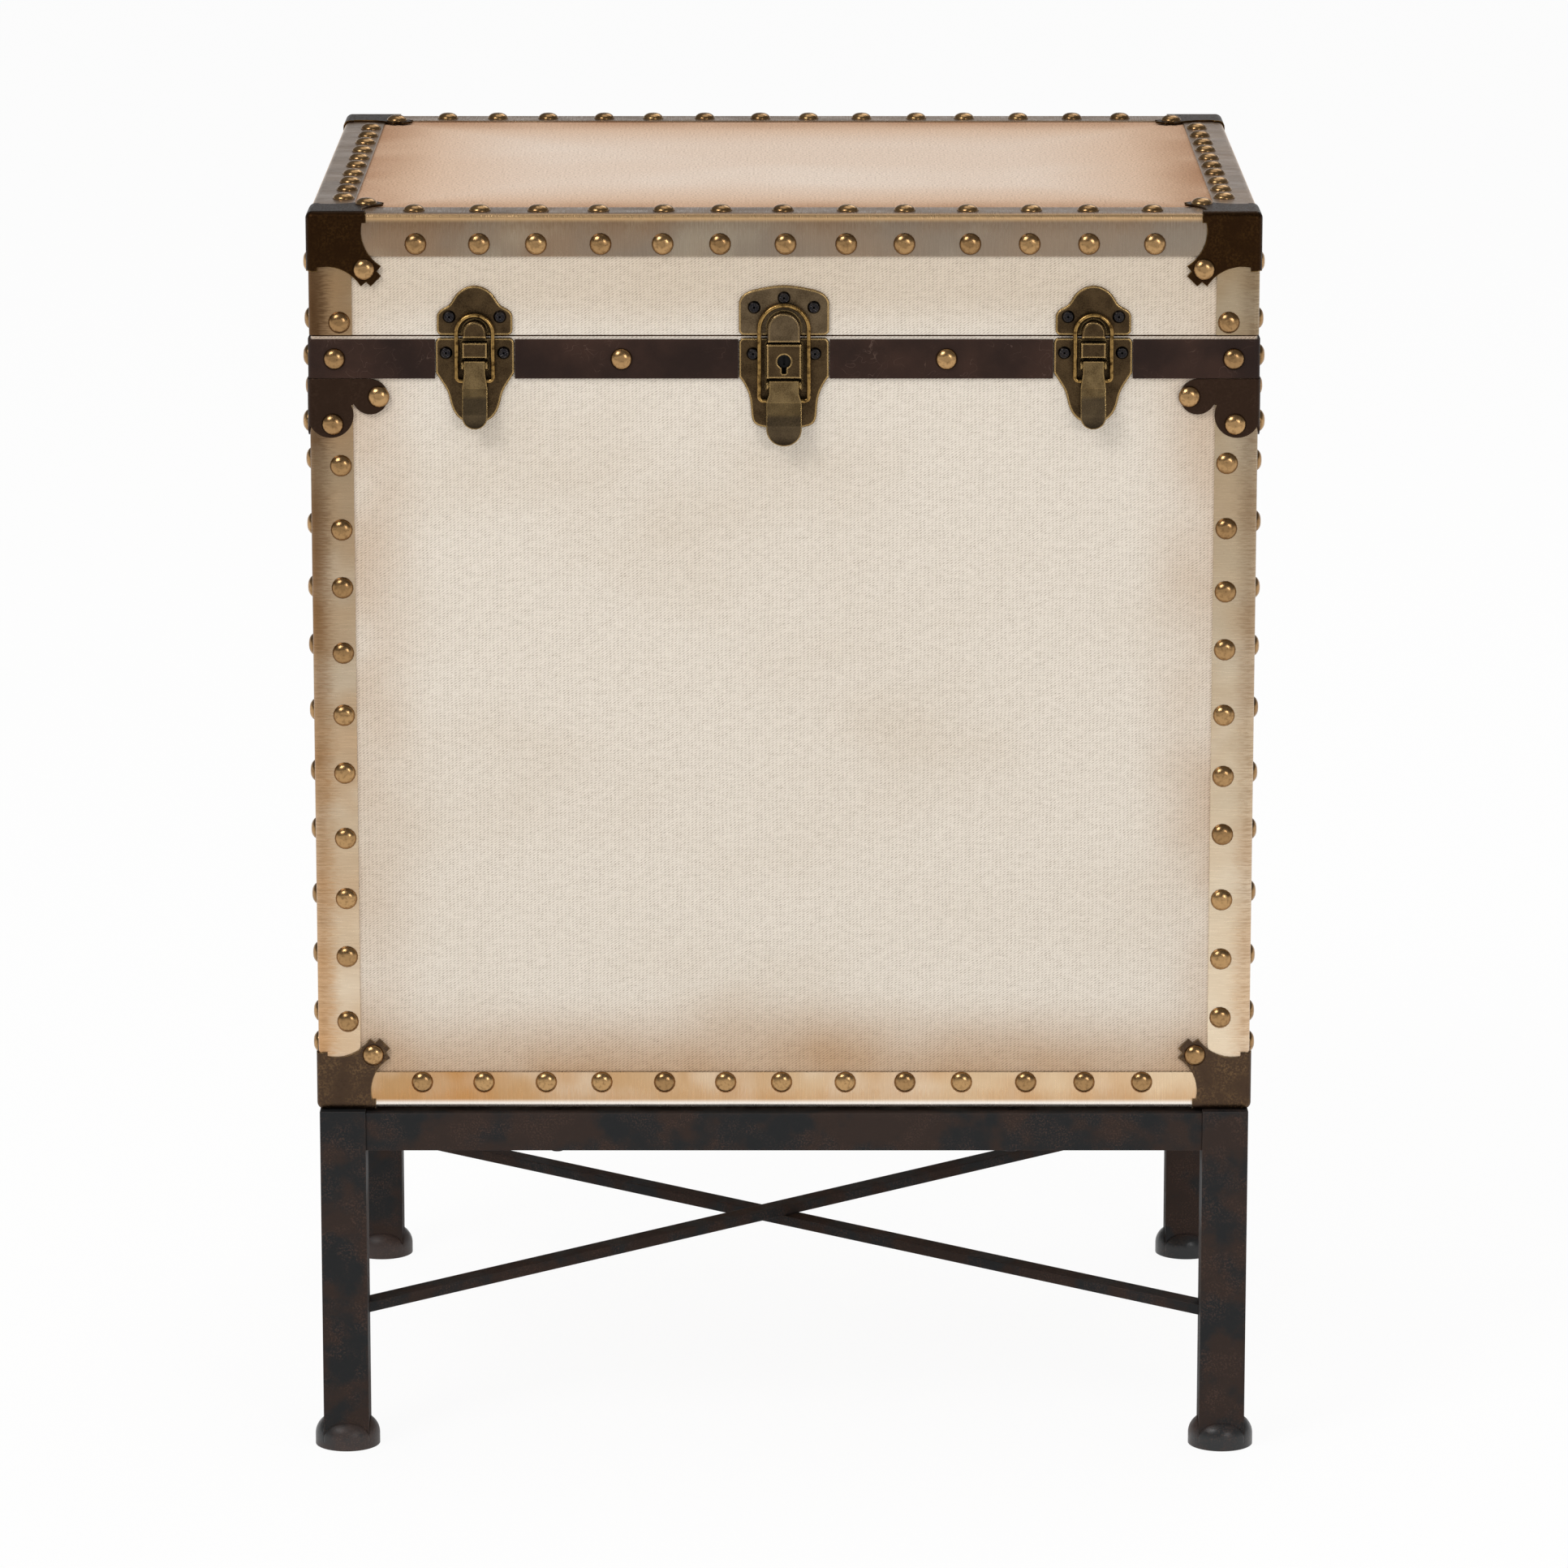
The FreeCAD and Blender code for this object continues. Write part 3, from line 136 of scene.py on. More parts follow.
class Surface(Nodes):
    """A material while it is being built, with the place and the way it is read at."""

    def __init__(self, name: str) -> None:
        """Start a material with only its shader and its output.

        Args:
            name: The material's name.
        """
        self.material = bpy.data.materials.new(name)
        self.material.use_nodes = True
        super().__init__(self.material.node_tree)
        self.shader = self.tree.nodes["Principled BSDF"]
        coordinates = self.add("TexCoord").node.outputs
        self.facing = coordinates["Normal"]
        self.place = self.add("VectorMath", {0: coordinates["Object"], "Scale": 1 / MM}, operation="SCALE")

    def patches(
        self,
        width: float,
        low: float = 0.35,
        high: float = 0.65,
        detail: float = 3.0,
        stretch: Triple = (1.0, 1.0, 1.0),
        place: Any = None,
    ) -> Any:
        """Soft random patches, from 0 to 1.

        Args:
            width: About how wide a patch is, in millimetres.
            low: The noise level that becomes 0.
            high: The noise level that becomes 1.
            detail: How many finer layers the patches have.
            stretch: How much longer they are along each axis.
            place: Where they are read, or None for the object's own millimetres.

        Returns:
            The socket with the patches.
        """
        scale = tuple(1 / (width * share) for share in stretch)
        spot = self.add("VectorMath", {0: place or self.place, 1: scale}, operation="MULTIPLY")
        noise = self.add("TexNoise", {"Vector": spot, "Scale": 1.0, "Detail": detail})
        return self.add("MapRange", {0: noise, 1: low, 2: high}, **SOFT)

    def coat(self, under: Any, colour: Any, mask: Any, share: float = 1.0) -> Any:
        """Lay a colour over another where a mask shows.

        Args:
            under: The colour below.
            colour: The colour on top.
            mask: Where the top one lies, from 0 to 1.
            share: How much of it covers there.

        Returns:
            The socket with the new colour.
        """
        cover = self.add("Math", {0: mask, 1: share}, operation="MULTIPLY")
        return self.add("Mix", {0: cover, 6: under, 7: colour}, 2, data_type="RGBA")

    def edge_wear_and_light(self, width: float) -> Any:
        """How near a piece's edges a spot is: it places rubbed wear, and on the brass painted edge highlights
        and shade.

        Args:
            width: How far from an edge the mask starts, in millimetres.

        Returns:
            The socket with the mask, 0 inside a face and 1 on a square edge.
        """
        flat = self.add("NewGeometry", out="Normal")
        rounded = self.add("Bevel", {"Radius": width * MM}, samples=EDGE_SAMPLES)
        match = self.add("VectorMath", {0: rounded, 1: flat}, "Value", operation="DOT_PRODUCT")
        return self.add("MapRange", {0: match, 1: FACE_MATCH, 2: EDGE_MATCH})

    def relief(self, height: Any, depth: float, strength: float, rounding: float) -> Any:
        """The normal of a textured piece with rounded edges.

        Args:
            height: The texture, from 0 to 1.
            depth: How deep it is, in millimetres.
            strength: How much of it shows.
            rounding: The radius of the edges, in millimetres.

        Returns:
            The socket with the normal.
        """
        edges = self.add("Bevel", {"Radius": rounding * MM}, samples=EDGE_SAMPLES)
        links = {"Height": height, "Distance": depth * MM, "Strength": strength, "Normal": edges}
        return self.add("Bump", links)

    def finish(self, **inputs: Any) -> bpy.types.Material:
        """Set the shader's inputs and end the material.

        Args:
            inputs: Values or sockets, by the inputs' names with spaces as underscores.

        Returns:
            The material.
        """
        self.feed(self.shader, {name.replace("_", " "): value for name, value in inputs.items()})
        return self.material


@dataclass(frozen=True)
class TrunkSize:
    """The trunk's outside over its strips, in millimetres."""

    half_width: float
    half_depth: float
    bottom: float
    rim: float
    top: float

    @classmethod
    def from_frame(cls) -> "TrunkSize":
        """Read the trunk's outside from its strips and its canvas.

        Returns:
            The sizes.
        """
        low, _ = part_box("box_bottom_strips")
        _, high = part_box("lid_edge_strips")
        _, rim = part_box("box_canvas")
        return cls(high.x / MM, high.y / MM, low.z / MM, rim.z / MM, high.z / MM)


@dataclass(frozen=True)
class ClothSpot:
    """A spot on the cloth, as sockets.

    They say where it is on the cloth's plane and how far up, whether it lies on top of the lid, how
    far it is from the nearer upright edge, and how much of the clouds and the puffs it has.
    """

    plane: Any
    up: Any
    top: Any
    from_side: Any
    cloud: Any
    puff: Any


@dataclass(frozen=True)
class WovenCanvas:
    """Cotton canvas in a coarse twill, glued on boards and airbrushed brown at its edges.

    The eye sees small dark gaps between the yarns in rising diagonals, patches where they show
    more, and soft tan clouds that deepen towards the trunk's edges. It has no shine. Lengths are
    in millimetres. A reach is how far a tone spreads from the strip beside it.
    """

    name: str
    size: TrunkSize
    cream: str = "#ebe1d3"
    cloud: str = "#d8c8b3"
    scorch: str = "#bd9770"
    haze: str = "#d4c2ab"
    peach: str = "#dab99d"
    centre: str = "#e9d8c8"
    rust: str = "#a4744f"
    gap: str = "#6f5d4a"
    warp_pitch: float = 1.85
    weft_pitch: float = 1.22
    wobble: float = 1.3
    wobble_width: float = 13.0
    fluff_width: float = 1.1
    uneven_width: float = 3.0
    yarn_relief: float = 0.2
    cloud_width: float = 125.0
    puff_width: float = 70.0
    strip_leg: float = 20.5
    side_reach: float = 42.0
    low_reach: float = 40.0
    low_ragged: float = 14.0
    top_reach: float = 38.0
    pale_start: float = 6.0
    pale_reach: float = 95.0
    under_strip: float = 6.0
    under_top_strip: float = 8.0
    rim_drop: float = 4.0
    rim_reach: float = 22.0

    def build(self) -> bpy.types.Material:
        """Build the canvas.

        Returns:
            The material.
        """
        s = Surface(self.name)
        spot = self._spot(s)
        weave, height = self._threads(s, spot.plane)
        colour = self._panel(s, spot, self._walls(s, spot))
        speck = s.patches(self.fluff_width, 0.44, 0.66, place=spot.plane)
        speck = s.add("Math", {0: speck, 1: 0.5}, operation="MULTIPLY")
        weave = s.add("Mix", {0: spot.top, 2: weave, 3: speck})
        links = {0: 0.75, 6: colour, 7: self.gap}
        gap = s.add("Mix", links, 2, data_type="RGBA", blend_type="MULTIPLY")
        colour = s.coat(colour, gap, weave)
        bump = s.add("Bump", {"Height": height, "Distance": self.yarn_relief * MM, "Strength": 0.5})
        return s.finish(Base_Color=colour, Roughness=0.93, Specular_IOR_Level=0.15, Normal=bump)

    def _spot(self, s: Surface) -> ClothSpot:
        """Lay the cloth's own plane on each face, with its wide clouds and smaller puffs.

        Args:
            s: The material that is being built.

        Returns:
            Where the cloth is read.
        """
        x, y, z = s.add("SeparateXYZ", {0: s.place}).node.outputs
        facing_x, _, facing_z = s.add("SeparateXYZ", {0: s.facing}).node.outputs
        masks = []
        for facing in (facing_x, facing_z):
            turned = s.add("Math", {0: facing}, operation="ABSOLUTE")
            masks.append(s.add("Math", {0: turned, 1: 0.5}, operation="GREATER_THAN"))
        side, top = masks
        across = s.add("Mix", {0: side, 2: x, 3: y})
        up = s.add("Mix", {0: top, 2: z, 3: y})
        plane = s.add("CombineXYZ", {0: across, 1: up})
        half = s.add("Mix", {0: side, 2: self.size.half_width, 3: self.size.half_depth})
        off_centre = s.add("Math", {0: across}, operation="ABSOLUTE")
        from_side = s.add("Math", {0: half, 1: off_centre}, operation="SUBTRACT")
        cloud = s.patches(self.cloud_width, 0.42, 0.74, 3, (1.5, 1, 1), plane)
        puff = s.patches(self.puff_width, 0.3, 0.7, 2, place=plane)
        return ClothSpot(plane, up, top, from_side, cloud, puff)

    def _threads(self, s: Surface, plane: Any) -> tuple[Any, Any]:
        """Weave the yarns.

        Args:
            s: The material that is being built.
            plane: The cloth's own plane.

        Returns:
            The sockets that say how dark a spot is, and how high.
        """
        links = {"Vector": plane, "Scale": 1 / self.wobble_width, "Detail": 1.0}
        wobble = s.add("TexNoise", links, "Color")
        drift = (self.wobble, self.wobble, 0)
        shift = s.add("VectorMath", {0: wobble, 1: drift, 2: plane}, operation="MULTIPLY_ADD")
        pitch = (1 / self.warp_pitch, -1 / self.weft_pitch, 0)
        grid = s.add("VectorMath", {0: shift, 1: pitch}, operation="MULTIPLY")
        band = 2 * math.pi / WAVE_RADIANS
        warp = s.add("TexWave", {"Vector": grid, "Scale": band}, "Fac", bands_direction="X")
        weft = s.add("TexWave", {"Vector": grid, "Scale": band}, "Fac", bands_direction="Y")
        rib = s.add("TexWave", {"Vector": grid, "Scale": 2 * band}, "Fac", bands_direction="DIAGONAL")
        dots = s.add("Math", {0: warp, 1: weft}, operation="MULTIPLY")
        dots = s.add("Math", {0: dots, 1: 1.5}, operation="POWER")
        uneven = s.patches(self.uneven_width, 0.3, 0.7, 4, (1.6, 1, 1), plane)
        uneven = s.add("MapRange", {0: uneven, 3: 0.45, 4: 1.0})
        furrow = s.add("Math", {0: 1.0, 1: rib}, operation="SUBTRACT")
        furrow = s.add("Math", {0: furrow, 1: 1.6}, operation="POWER")
        broken = s.add("MapRange", {0: warp, 3: 0.2, 4: 0.78})
        dash = s.add("Math", {0: furrow, 1: broken}, operation="MULTIPLY")
        dark = s.add("Math", {0: dash, 1: uneven}, operation="MULTIPLY")
        fluff = s.patches(self.fluff_width, 0.4, 0.8, 2, place=plane)
        slub = s.patches(self.fluff_width, 0.5, 0.74, 2, (6, 1, 1), plane)
        dark = s.add("Math", {0: slub, 1: 0.1, 2: dark}, operation="MULTIPLY_ADD")
        dark = s.add("Math", {0: fluff, 1: 0.14, 2: dark}, operation="MULTIPLY_ADD", use_clamp=True)
        return dark, s.add("Math", {0: rib, 1: dots}, operation="SUBTRACT")

    def _walls(self, s: Surface, spot: ClothSpot) -> Any:
        """Colour the cloth on the walls, before its weave.

        Args:
            s: The material that is being built.
            spot: Where the cloth is read.

        Returns:
            The socket with the colour.
        """
        leg = self.strip_leg
        colour = s.coat(self.cream, self.cloud, spot.cloud, 0.5)
        reach = {1: leg + self.side_reach, 2: leg - self.under_strip}
        edge = s.add("MapRange", {0: spot.from_side, **reach}, **SOFT)
        thick = s.add("Math", {0: spot.puff, 1: 0.3}, operation="ADD")
        edge = s.add("Math", {0: edge, 1: thick}, operation="MULTIPLY")
        colour = s.coat(colour, self.scorch, edge, 0.42)
        base = self.size.bottom + leg
        rise = s.add("Math", {0: spot.cloud, 1: self.low_ragged}, operation="MULTIPLY")
        above = s.add("Math", {0: spot.up, 1: rise}, operation="SUBTRACT")
        low = s.add("MapRange", {0: above, 1: base + self.low_reach, 2: base - self.under_strip}, **SOFT)
        thick = s.add("MapRange", {0: spot.puff, 3: 0.66, 4: 0.88})
        low = s.add("Math", {0: low, 1: thick}, operation="MULTIPLY")
        colour = s.coat(colour, self.scorch, low)
        reach = {1: self.size.rim - self.rim_drop, 2: self.size.rim + self.rim_reach}
        rim = s.add("MapRange", {0: spot.up, **reach}, **SOFT)
        return s.coat(colour, self.haze, rim, 0.62)

    def _panel(self, s: Surface, spot: ClothSpot, walls: Any) -> Any:
        """Colour the cloth on top of the lid, before its weave.

        Args:
            s: The material that is being built.
            spot: Where the cloth is read.
            walls: The socket with the walls' colour.

        Returns:
            The socket with the colour of the whole cloth.
        """
        leg = self.strip_leg
        deep = s.add("Math", {0: spot.up}, operation="ABSOLUTE")
        from_front = s.add("Math", {0: self.size.half_depth, 1: deep}, operation="SUBTRACT")
        near = s.add("Math", {0: spot.from_side, 1: from_front}, operation="MINIMUM")
        pale = s.add("MapRange", {0: near, 1: leg + self.pale_start, 2: leg + self.pale_reach}, **SOFT)
        thick = s.add("MapRange", {0: spot.cloud, 3: 0.7, 4: 1.0})
        pale = s.add("Math", {0: pale, 1: thick}, operation="MULTIPLY")
        brown = s.add("MapRange", {0: near, 1: leg + self.top_reach, 2: leg - self.under_top_strip}, **SOFT)
        thick = s.add("MapRange", {0: spot.puff, 3: 0.4, 4: 0.85})
        brown = s.add("Math", {0: brown, 1: thick}, operation="MULTIPLY")
        panel = s.coat(s.coat(self.peach, self.centre, pale), self.rust, brown)
        return s.coat(walls, panel, spot.top)


class Run(Enum):
    """Which way a strip runs on the trunk."""

    RING = "ring"
    UPRIGHT = "upright"


@dataclass(frozen=True)
class ChampagneStrip:
    """Thin anodised aluminium strip, folded over the edges and toned with brown lacquer.

    The eye sees a satin champagne metal with fine rubbed lines, a crackle of short ticks by the
    fold, brown lacquer gathered at the outer edge (more of it on the left) and a browner tone on
    the left. Painted light: the metal fades from pale low on the trunk to darker high up, a
    painted reflection of the bright floor below and the dim room above; the leg on top of the
    trunk is darker still, a painted reflection of the room overhead; pale patches are painted
    gleams; and the fold can carry a painted highlight. A low colour is the one at the trunk's
    bottom and a high one the one at its top. Lengths are in millimetres.
    """

    name: str
    size: TrunkSize
    run: Run
    level: float
    # The fade from the low colours to the high ones is a painted reflection: the bright floor low down, the
    # dim room high up.
    pale: str = "#f4e2c6"
    dark: str = "#ab926f"
    lacquer: str = "#54371d"
    honey: str = "#c58f56"
    low_left_brown: str = "#bd8f5a"
    high_left_brown: str = "#775738"
    low_painted_gleam: str = "#f6ead6"
    high_painted_gleam: str = "#cdbfa6"
    low_tick: str = "#a87d50"
    high_tick: str = "#6b5237"
    scuff: str = "#6f5b48"
    # Colours of the leg on top of the trunk, darkened as a painted reflection of the dim room overhead.
    shade: str = "#947c66"
    pale_shade: str = "#a58a70"
    fold_highlight: str = "#fff6ea"
    left_brown: float = 0.32
    stain: float = 0.25
    ticks: float = 0.35
    fold_highlight_share: float = 0.0
    lacquer_share: float = 0.95
    cloud_width: float = 36.0
    painted_gleam_width: float = 34.0
    shade_width: float = 30.0
    line_width: float = 0.7
    lacquer_start: float = 12.0
    lacquer_full: float = 2.0
    lacquer_ragged: float = 2.5
    tick_start: float = 8.0
    tick_full: float = 3.0
    fold_highlight_start: float = 4.6
    fold_highlight_full: float = 2.2
    wave_width: float = 38.0
    wave_depth: float = 1.2
    line_depth: float = 0.03
    fold_radius: float = 0.8

    def build(self) -> bpy.types.Material:
        """Build the strip.

        Returns:
            The material.
        """
        s = Surface(self.name)
        along, from_fold = self._run_of(s)
        strip = s.add("CombineXYZ", {0: along, 1: from_fold})
        z = s.add("SeparateXYZ", {0: s.place}, "Z")
        # How high a spot is on the trunk; the strip's colours fade with it as a painted reflection.
        height = s.add("MapRange", {0: z, 1: self.size.bottom, 2: self.size.top})
        comb = s.patches(self.line_width, 0.4, 0.66, 1, (1, 7, 1), strip)
        lines = s.patches(self.line_width, 0.3, 0.7, 2, (1, 18, 1), strip)
        near = s.add("MapRange", {0: from_fold, 1: self.tick_start, 2: self.tick_full})
        tick = s.add("Math", {0: comb, 1: near}, operation="MULTIPLY")
        tone = self._toning(s, height, from_fold, comb)
        tone = s.coat(tone, s.coat(self.low_tick, self.high_tick, height), tick, self.ticks)
        rubbed = s.add("MapRange", {0: height, 3: 0.03, 4: 0.18})
        rubbed = s.add("Math", {0: lines, 1: rubbed}, operation="MULTIPLY")
        links = {0: rubbed, 6: tone, 7: self.scuff}
        tone = s.add("Mix", links, 2, data_type="RGBA", blend_type="MULTIPLY")
        # Painted highlight: a paler band along the fold, where the rounded edge would catch the light.
        links = {0: from_fold, 1: self.fold_highlight_start, 2: self.fold_highlight_full, 4: self.fold_highlight_share}
        tone = s.coat(tone, self.fold_highlight, s.add("MapRange", links, **SOFT))
        # Painted reflection: the leg on top of the trunk, facing up, is darkened as the dim room overhead
        # would show in it.
        facing_up = s.add("SeparateXYZ", {0: s.facing}, "Z")
        up = s.add("Math", {0: facing_up, 1: 0.8}, operation="GREATER_THAN")
        tone = s.coat(tone, s.coat(self.shade, self.pale_shade, s.patches(self.shade_width, 0.3, 0.7)), up)
        wave = s.relief(s.patches(self.wave_width, 0.2, 0.8, 2), self.wave_depth, 0.5, self.fold_radius)
        links = {"Height": s.add("Math", {0: lines, 1: tick}, operation="ADD"), "Normal": wave}
        bump = s.add("Bump", {**links, "Distance": self.line_depth * MM, "Strength": 0.4})
        rough = s.add("MapRange", {0: lines, 3: 0.26, 4: 0.36})
        return s.finish(Base_Color=tone, Metallic=0.9, Roughness=rough, Normal=bump)

    def _toning(self, s: Surface, height: Any, from_fold: Any, comb: Any) -> Any:
        """Tone the bare metal with a painted reflection that darkens it high up, a browner tone on the left,
        stains, painted gleams and lacquer.

        Args:
            s: The material that is being built.
            height: How high a spot is on the trunk, from 0 to 1.
            from_fold: How far it is from the fold.
            comb: The ragged lines across the strip.

        Returns:
            The socket with the colour.
        """
        half = self.size.half_width
        x = s.add("SeparateXYZ", {0: s.place}, "X")
        hand = s.add("MapRange", {0: x, 1: -half, 2: half, 3: 1.0, 4: 0.5})
        left_brown = s.add("MapRange", {0: hand, 1: 0.5, 2: 1.0, 4: self.left_brown})
        # Painted reflection: pale low on the trunk, darker high up.
        tone = s.coat(self.pale, self.dark, height)
        # Browner towards the left; the brown also darkens high up, as painted reflection.
        tone = s.coat(tone, s.coat(self.low_left_brown, self.high_left_brown, height), left_brown)
        cloud = s.patches(self.cloud_width, 0.35, 0.7, 2)
        stain = s.add("Math", {0: cloud, 1: hand}, operation="MULTIPLY")
        tone = s.coat(tone, self.honey, stain, self.stain)
        # Painted highlights: pale gleaming patches, paler low on the trunk.
        painted_gleam = s.patches(self.painted_gleam_width, 0.46, 0.7, 2)
        tone = s.coat(tone, s.coat(self.low_painted_gleam, self.high_painted_gleam, height), painted_gleam, 0.35)
        ragged = s.add("Math", {0: comb, 1: -self.lacquer_ragged, 2: from_fold}, operation="MULTIPLY_ADD")
        links = {0: ragged, 1: self.lacquer_start, 2: self.lacquer_full}
        edge = s.add("MapRange", links, **SOFT)
        thick = s.add("MapRange", {0: cloud, 3: 0.6, 4: 1.0})
        edge = s.add("Math", {0: edge, 1: thick}, operation="MULTIPLY")
        thick = s.add("MapRange", {0: height, 3: 0.75, 4: self.lacquer_share})
        edge = s.add("Math", {0: edge, 1: thick}, operation="MULTIPLY")
        edge = s.add("Math", {0: edge, 1: hand}, operation="MULTIPLY")
        toner = s.coat(self.honey, self.lacquer, s.add("MapRange", {0: height, 1: 0.1, 2: 0.75}))
        return s.coat(tone, toner, edge)

    def _run_of(self, s: Surface) -> tuple[Any, Any]:
        """Follow the strip.

        Args:
            s: The material that is being built.

        Returns:
            The sockets that say how far along the strip and how far from its fold a spot is.
        """
        x, y, z = s.add("SeparateXYZ", {0: s.place}).node.outputs
        off_x = s.add("Math", {0: x}, operation="ABSOLUTE")
        off_y = s.add("Math", {0: y}, operation="ABSOLUTE")
        in_x = s.add("Math", {0: self.size.half_width, 1: off_x}, operation="SUBTRACT")
        in_y = s.add("Math", {0: self.size.half_depth, 1: off_y}, operation="SUBTRACT")
        if self.run is Run.UPRIGHT:
            return z, s.add("Math", {0: in_x, 1: in_y}, operation="MAXIMUM")
        drop = s.add("Math", {0: z, 1: self.level}, operation="SUBTRACT")
        drop = s.add("Math", {0: drop}, operation="ABSOLUTE")
        inward = s.add("Math", {0: in_x, 1: in_y}, operation="MINIMUM")
        nearer = s.add("Math", {0: in_y, 1: in_x}, operation="LESS_THAN")
        along = s.add("Mix", {0: nearer, 2: y, 3: x})
        return along, s.add("Math", {0: drop, 1: inward}, operation="MAXIMUM")


@dataclass(frozen=True)
class BronzedCap:
    """Pressed steel with a dark bronze plating, rubbed through along its edges.

    The eye sees a nearly black brown with a grainy speckle and thin brassy lines on the edges.
    Lengths are in millimetres.
    """

    name: str
    base: str
    speck: str
    edge: str
    speck_share: float = 0.6
    roughness: float = 0.38
    rub: float = 0.6
    grain_width: float = 0.9
    grain_depth: float = 0.06
    cloud_width: float = 11.0
    rub_width: float = 6.0
    edge_width: float = 0.8

    def build(self) -> bpy.types.Material:
        """Build the cap.

        Returns:
            The material.
        """
        s = Surface(self.name)
        grain = s.patches(self.grain_width, 0.42, 0.66, 2)
        cloud = s.patches(self.cloud_width, 0.3, 0.7)
        specks = s.add("Math", {0: grain, 1: cloud}, operation="MULTIPLY")
        tone = s.coat(self.base, self.speck, specks, self.speck_share)
        rubbed = {0: s.edge_wear_and_light(self.edge_width), 1: s.patches(self.rub_width, 0.3, 0.6)}
        tone = s.coat(tone, self.edge, s.add("Math", rubbed, operation="MULTIPLY"), self.rub)
        rough = s.add("MapRange", {0: grain, 3: self.roughness, 4: self.roughness + 0.15})
        bump = s.relief(grain, self.grain_depth, 0.35, self.edge_width)
        return s.finish(Base_Color=tone, Metallic=1.0, Roughness=rough, Normal=bump)


@dataclass(frozen=True)
class HideLeather:
    """Waxed brown cowhide strap.

    The eye sees a dark brown with a low wax shine, fine creases and a few pale scratches. Lengths
    are in millimetres.
    """

    name: str
    dark: str = "#24150f"
    brown: str = "#38241b"
    scratch: str = "#7d665b"
    rubbed: str = "#6a5146"
    cloud_width: float = 28.0
    crease_width: float = 1.25
    crease_depth: float = 0.06
    scratch_width: float = 14.0
    bend_scale: float = 0.12
    edge_width: float = 0.6
    edge_radius: float = 0.5

    def build(self) -> bpy.types.Material:
        """Build the hide.

        Returns:
            The material.
        """
        s = Surface(self.name)
        tone = s.coat(self.dark, self.brown, s.patches(self.cloud_width, 0.3, 0.72, 4))
        cell = s.add("VectorMath", {0: s.place, "Scale": 1 / self.crease_width}, operation="SCALE")
        grain = s.add("TexVoronoi", {"Vector": cell, "Scale": 1.0}, feature="DISTANCE_TO_EDGE")
        grain = s.add("MapRange", {0: grain, 1: 0.0, 2: 0.25})
        bends = {"Vector": s.place, "Scale": self.bend_scale, "Detail": 1.0, "Distortion": 1.2}
        line = s.add("Math", {0: s.add("TexNoise", bends), 1: 0.5}, operation="SUBTRACT")
        line = s.add("Math", {0: line}, operation="ABSOLUTE")
        line = s.add("MapRange", {0: line, 1: 0.008, 2: 0.0})
        kept = s.patches(self.scratch_width, 0.48, 0.62)
        line = s.add("Math", {0: line, 1: kept}, operation="MULTIPLY")
        tone = s.coat(tone, self.scratch, line, 0.3)
        tone = s.coat(tone, self.rubbed, s.edge_wear_and_light(self.edge_width), 0.45)
        bump = s.relief(grain, self.crease_depth, 0.45, self.edge_radius)
        return s.finish(Base_Color=tone, Roughness=0.52, Specular_IOR_Level=0.16, Normal=bump)


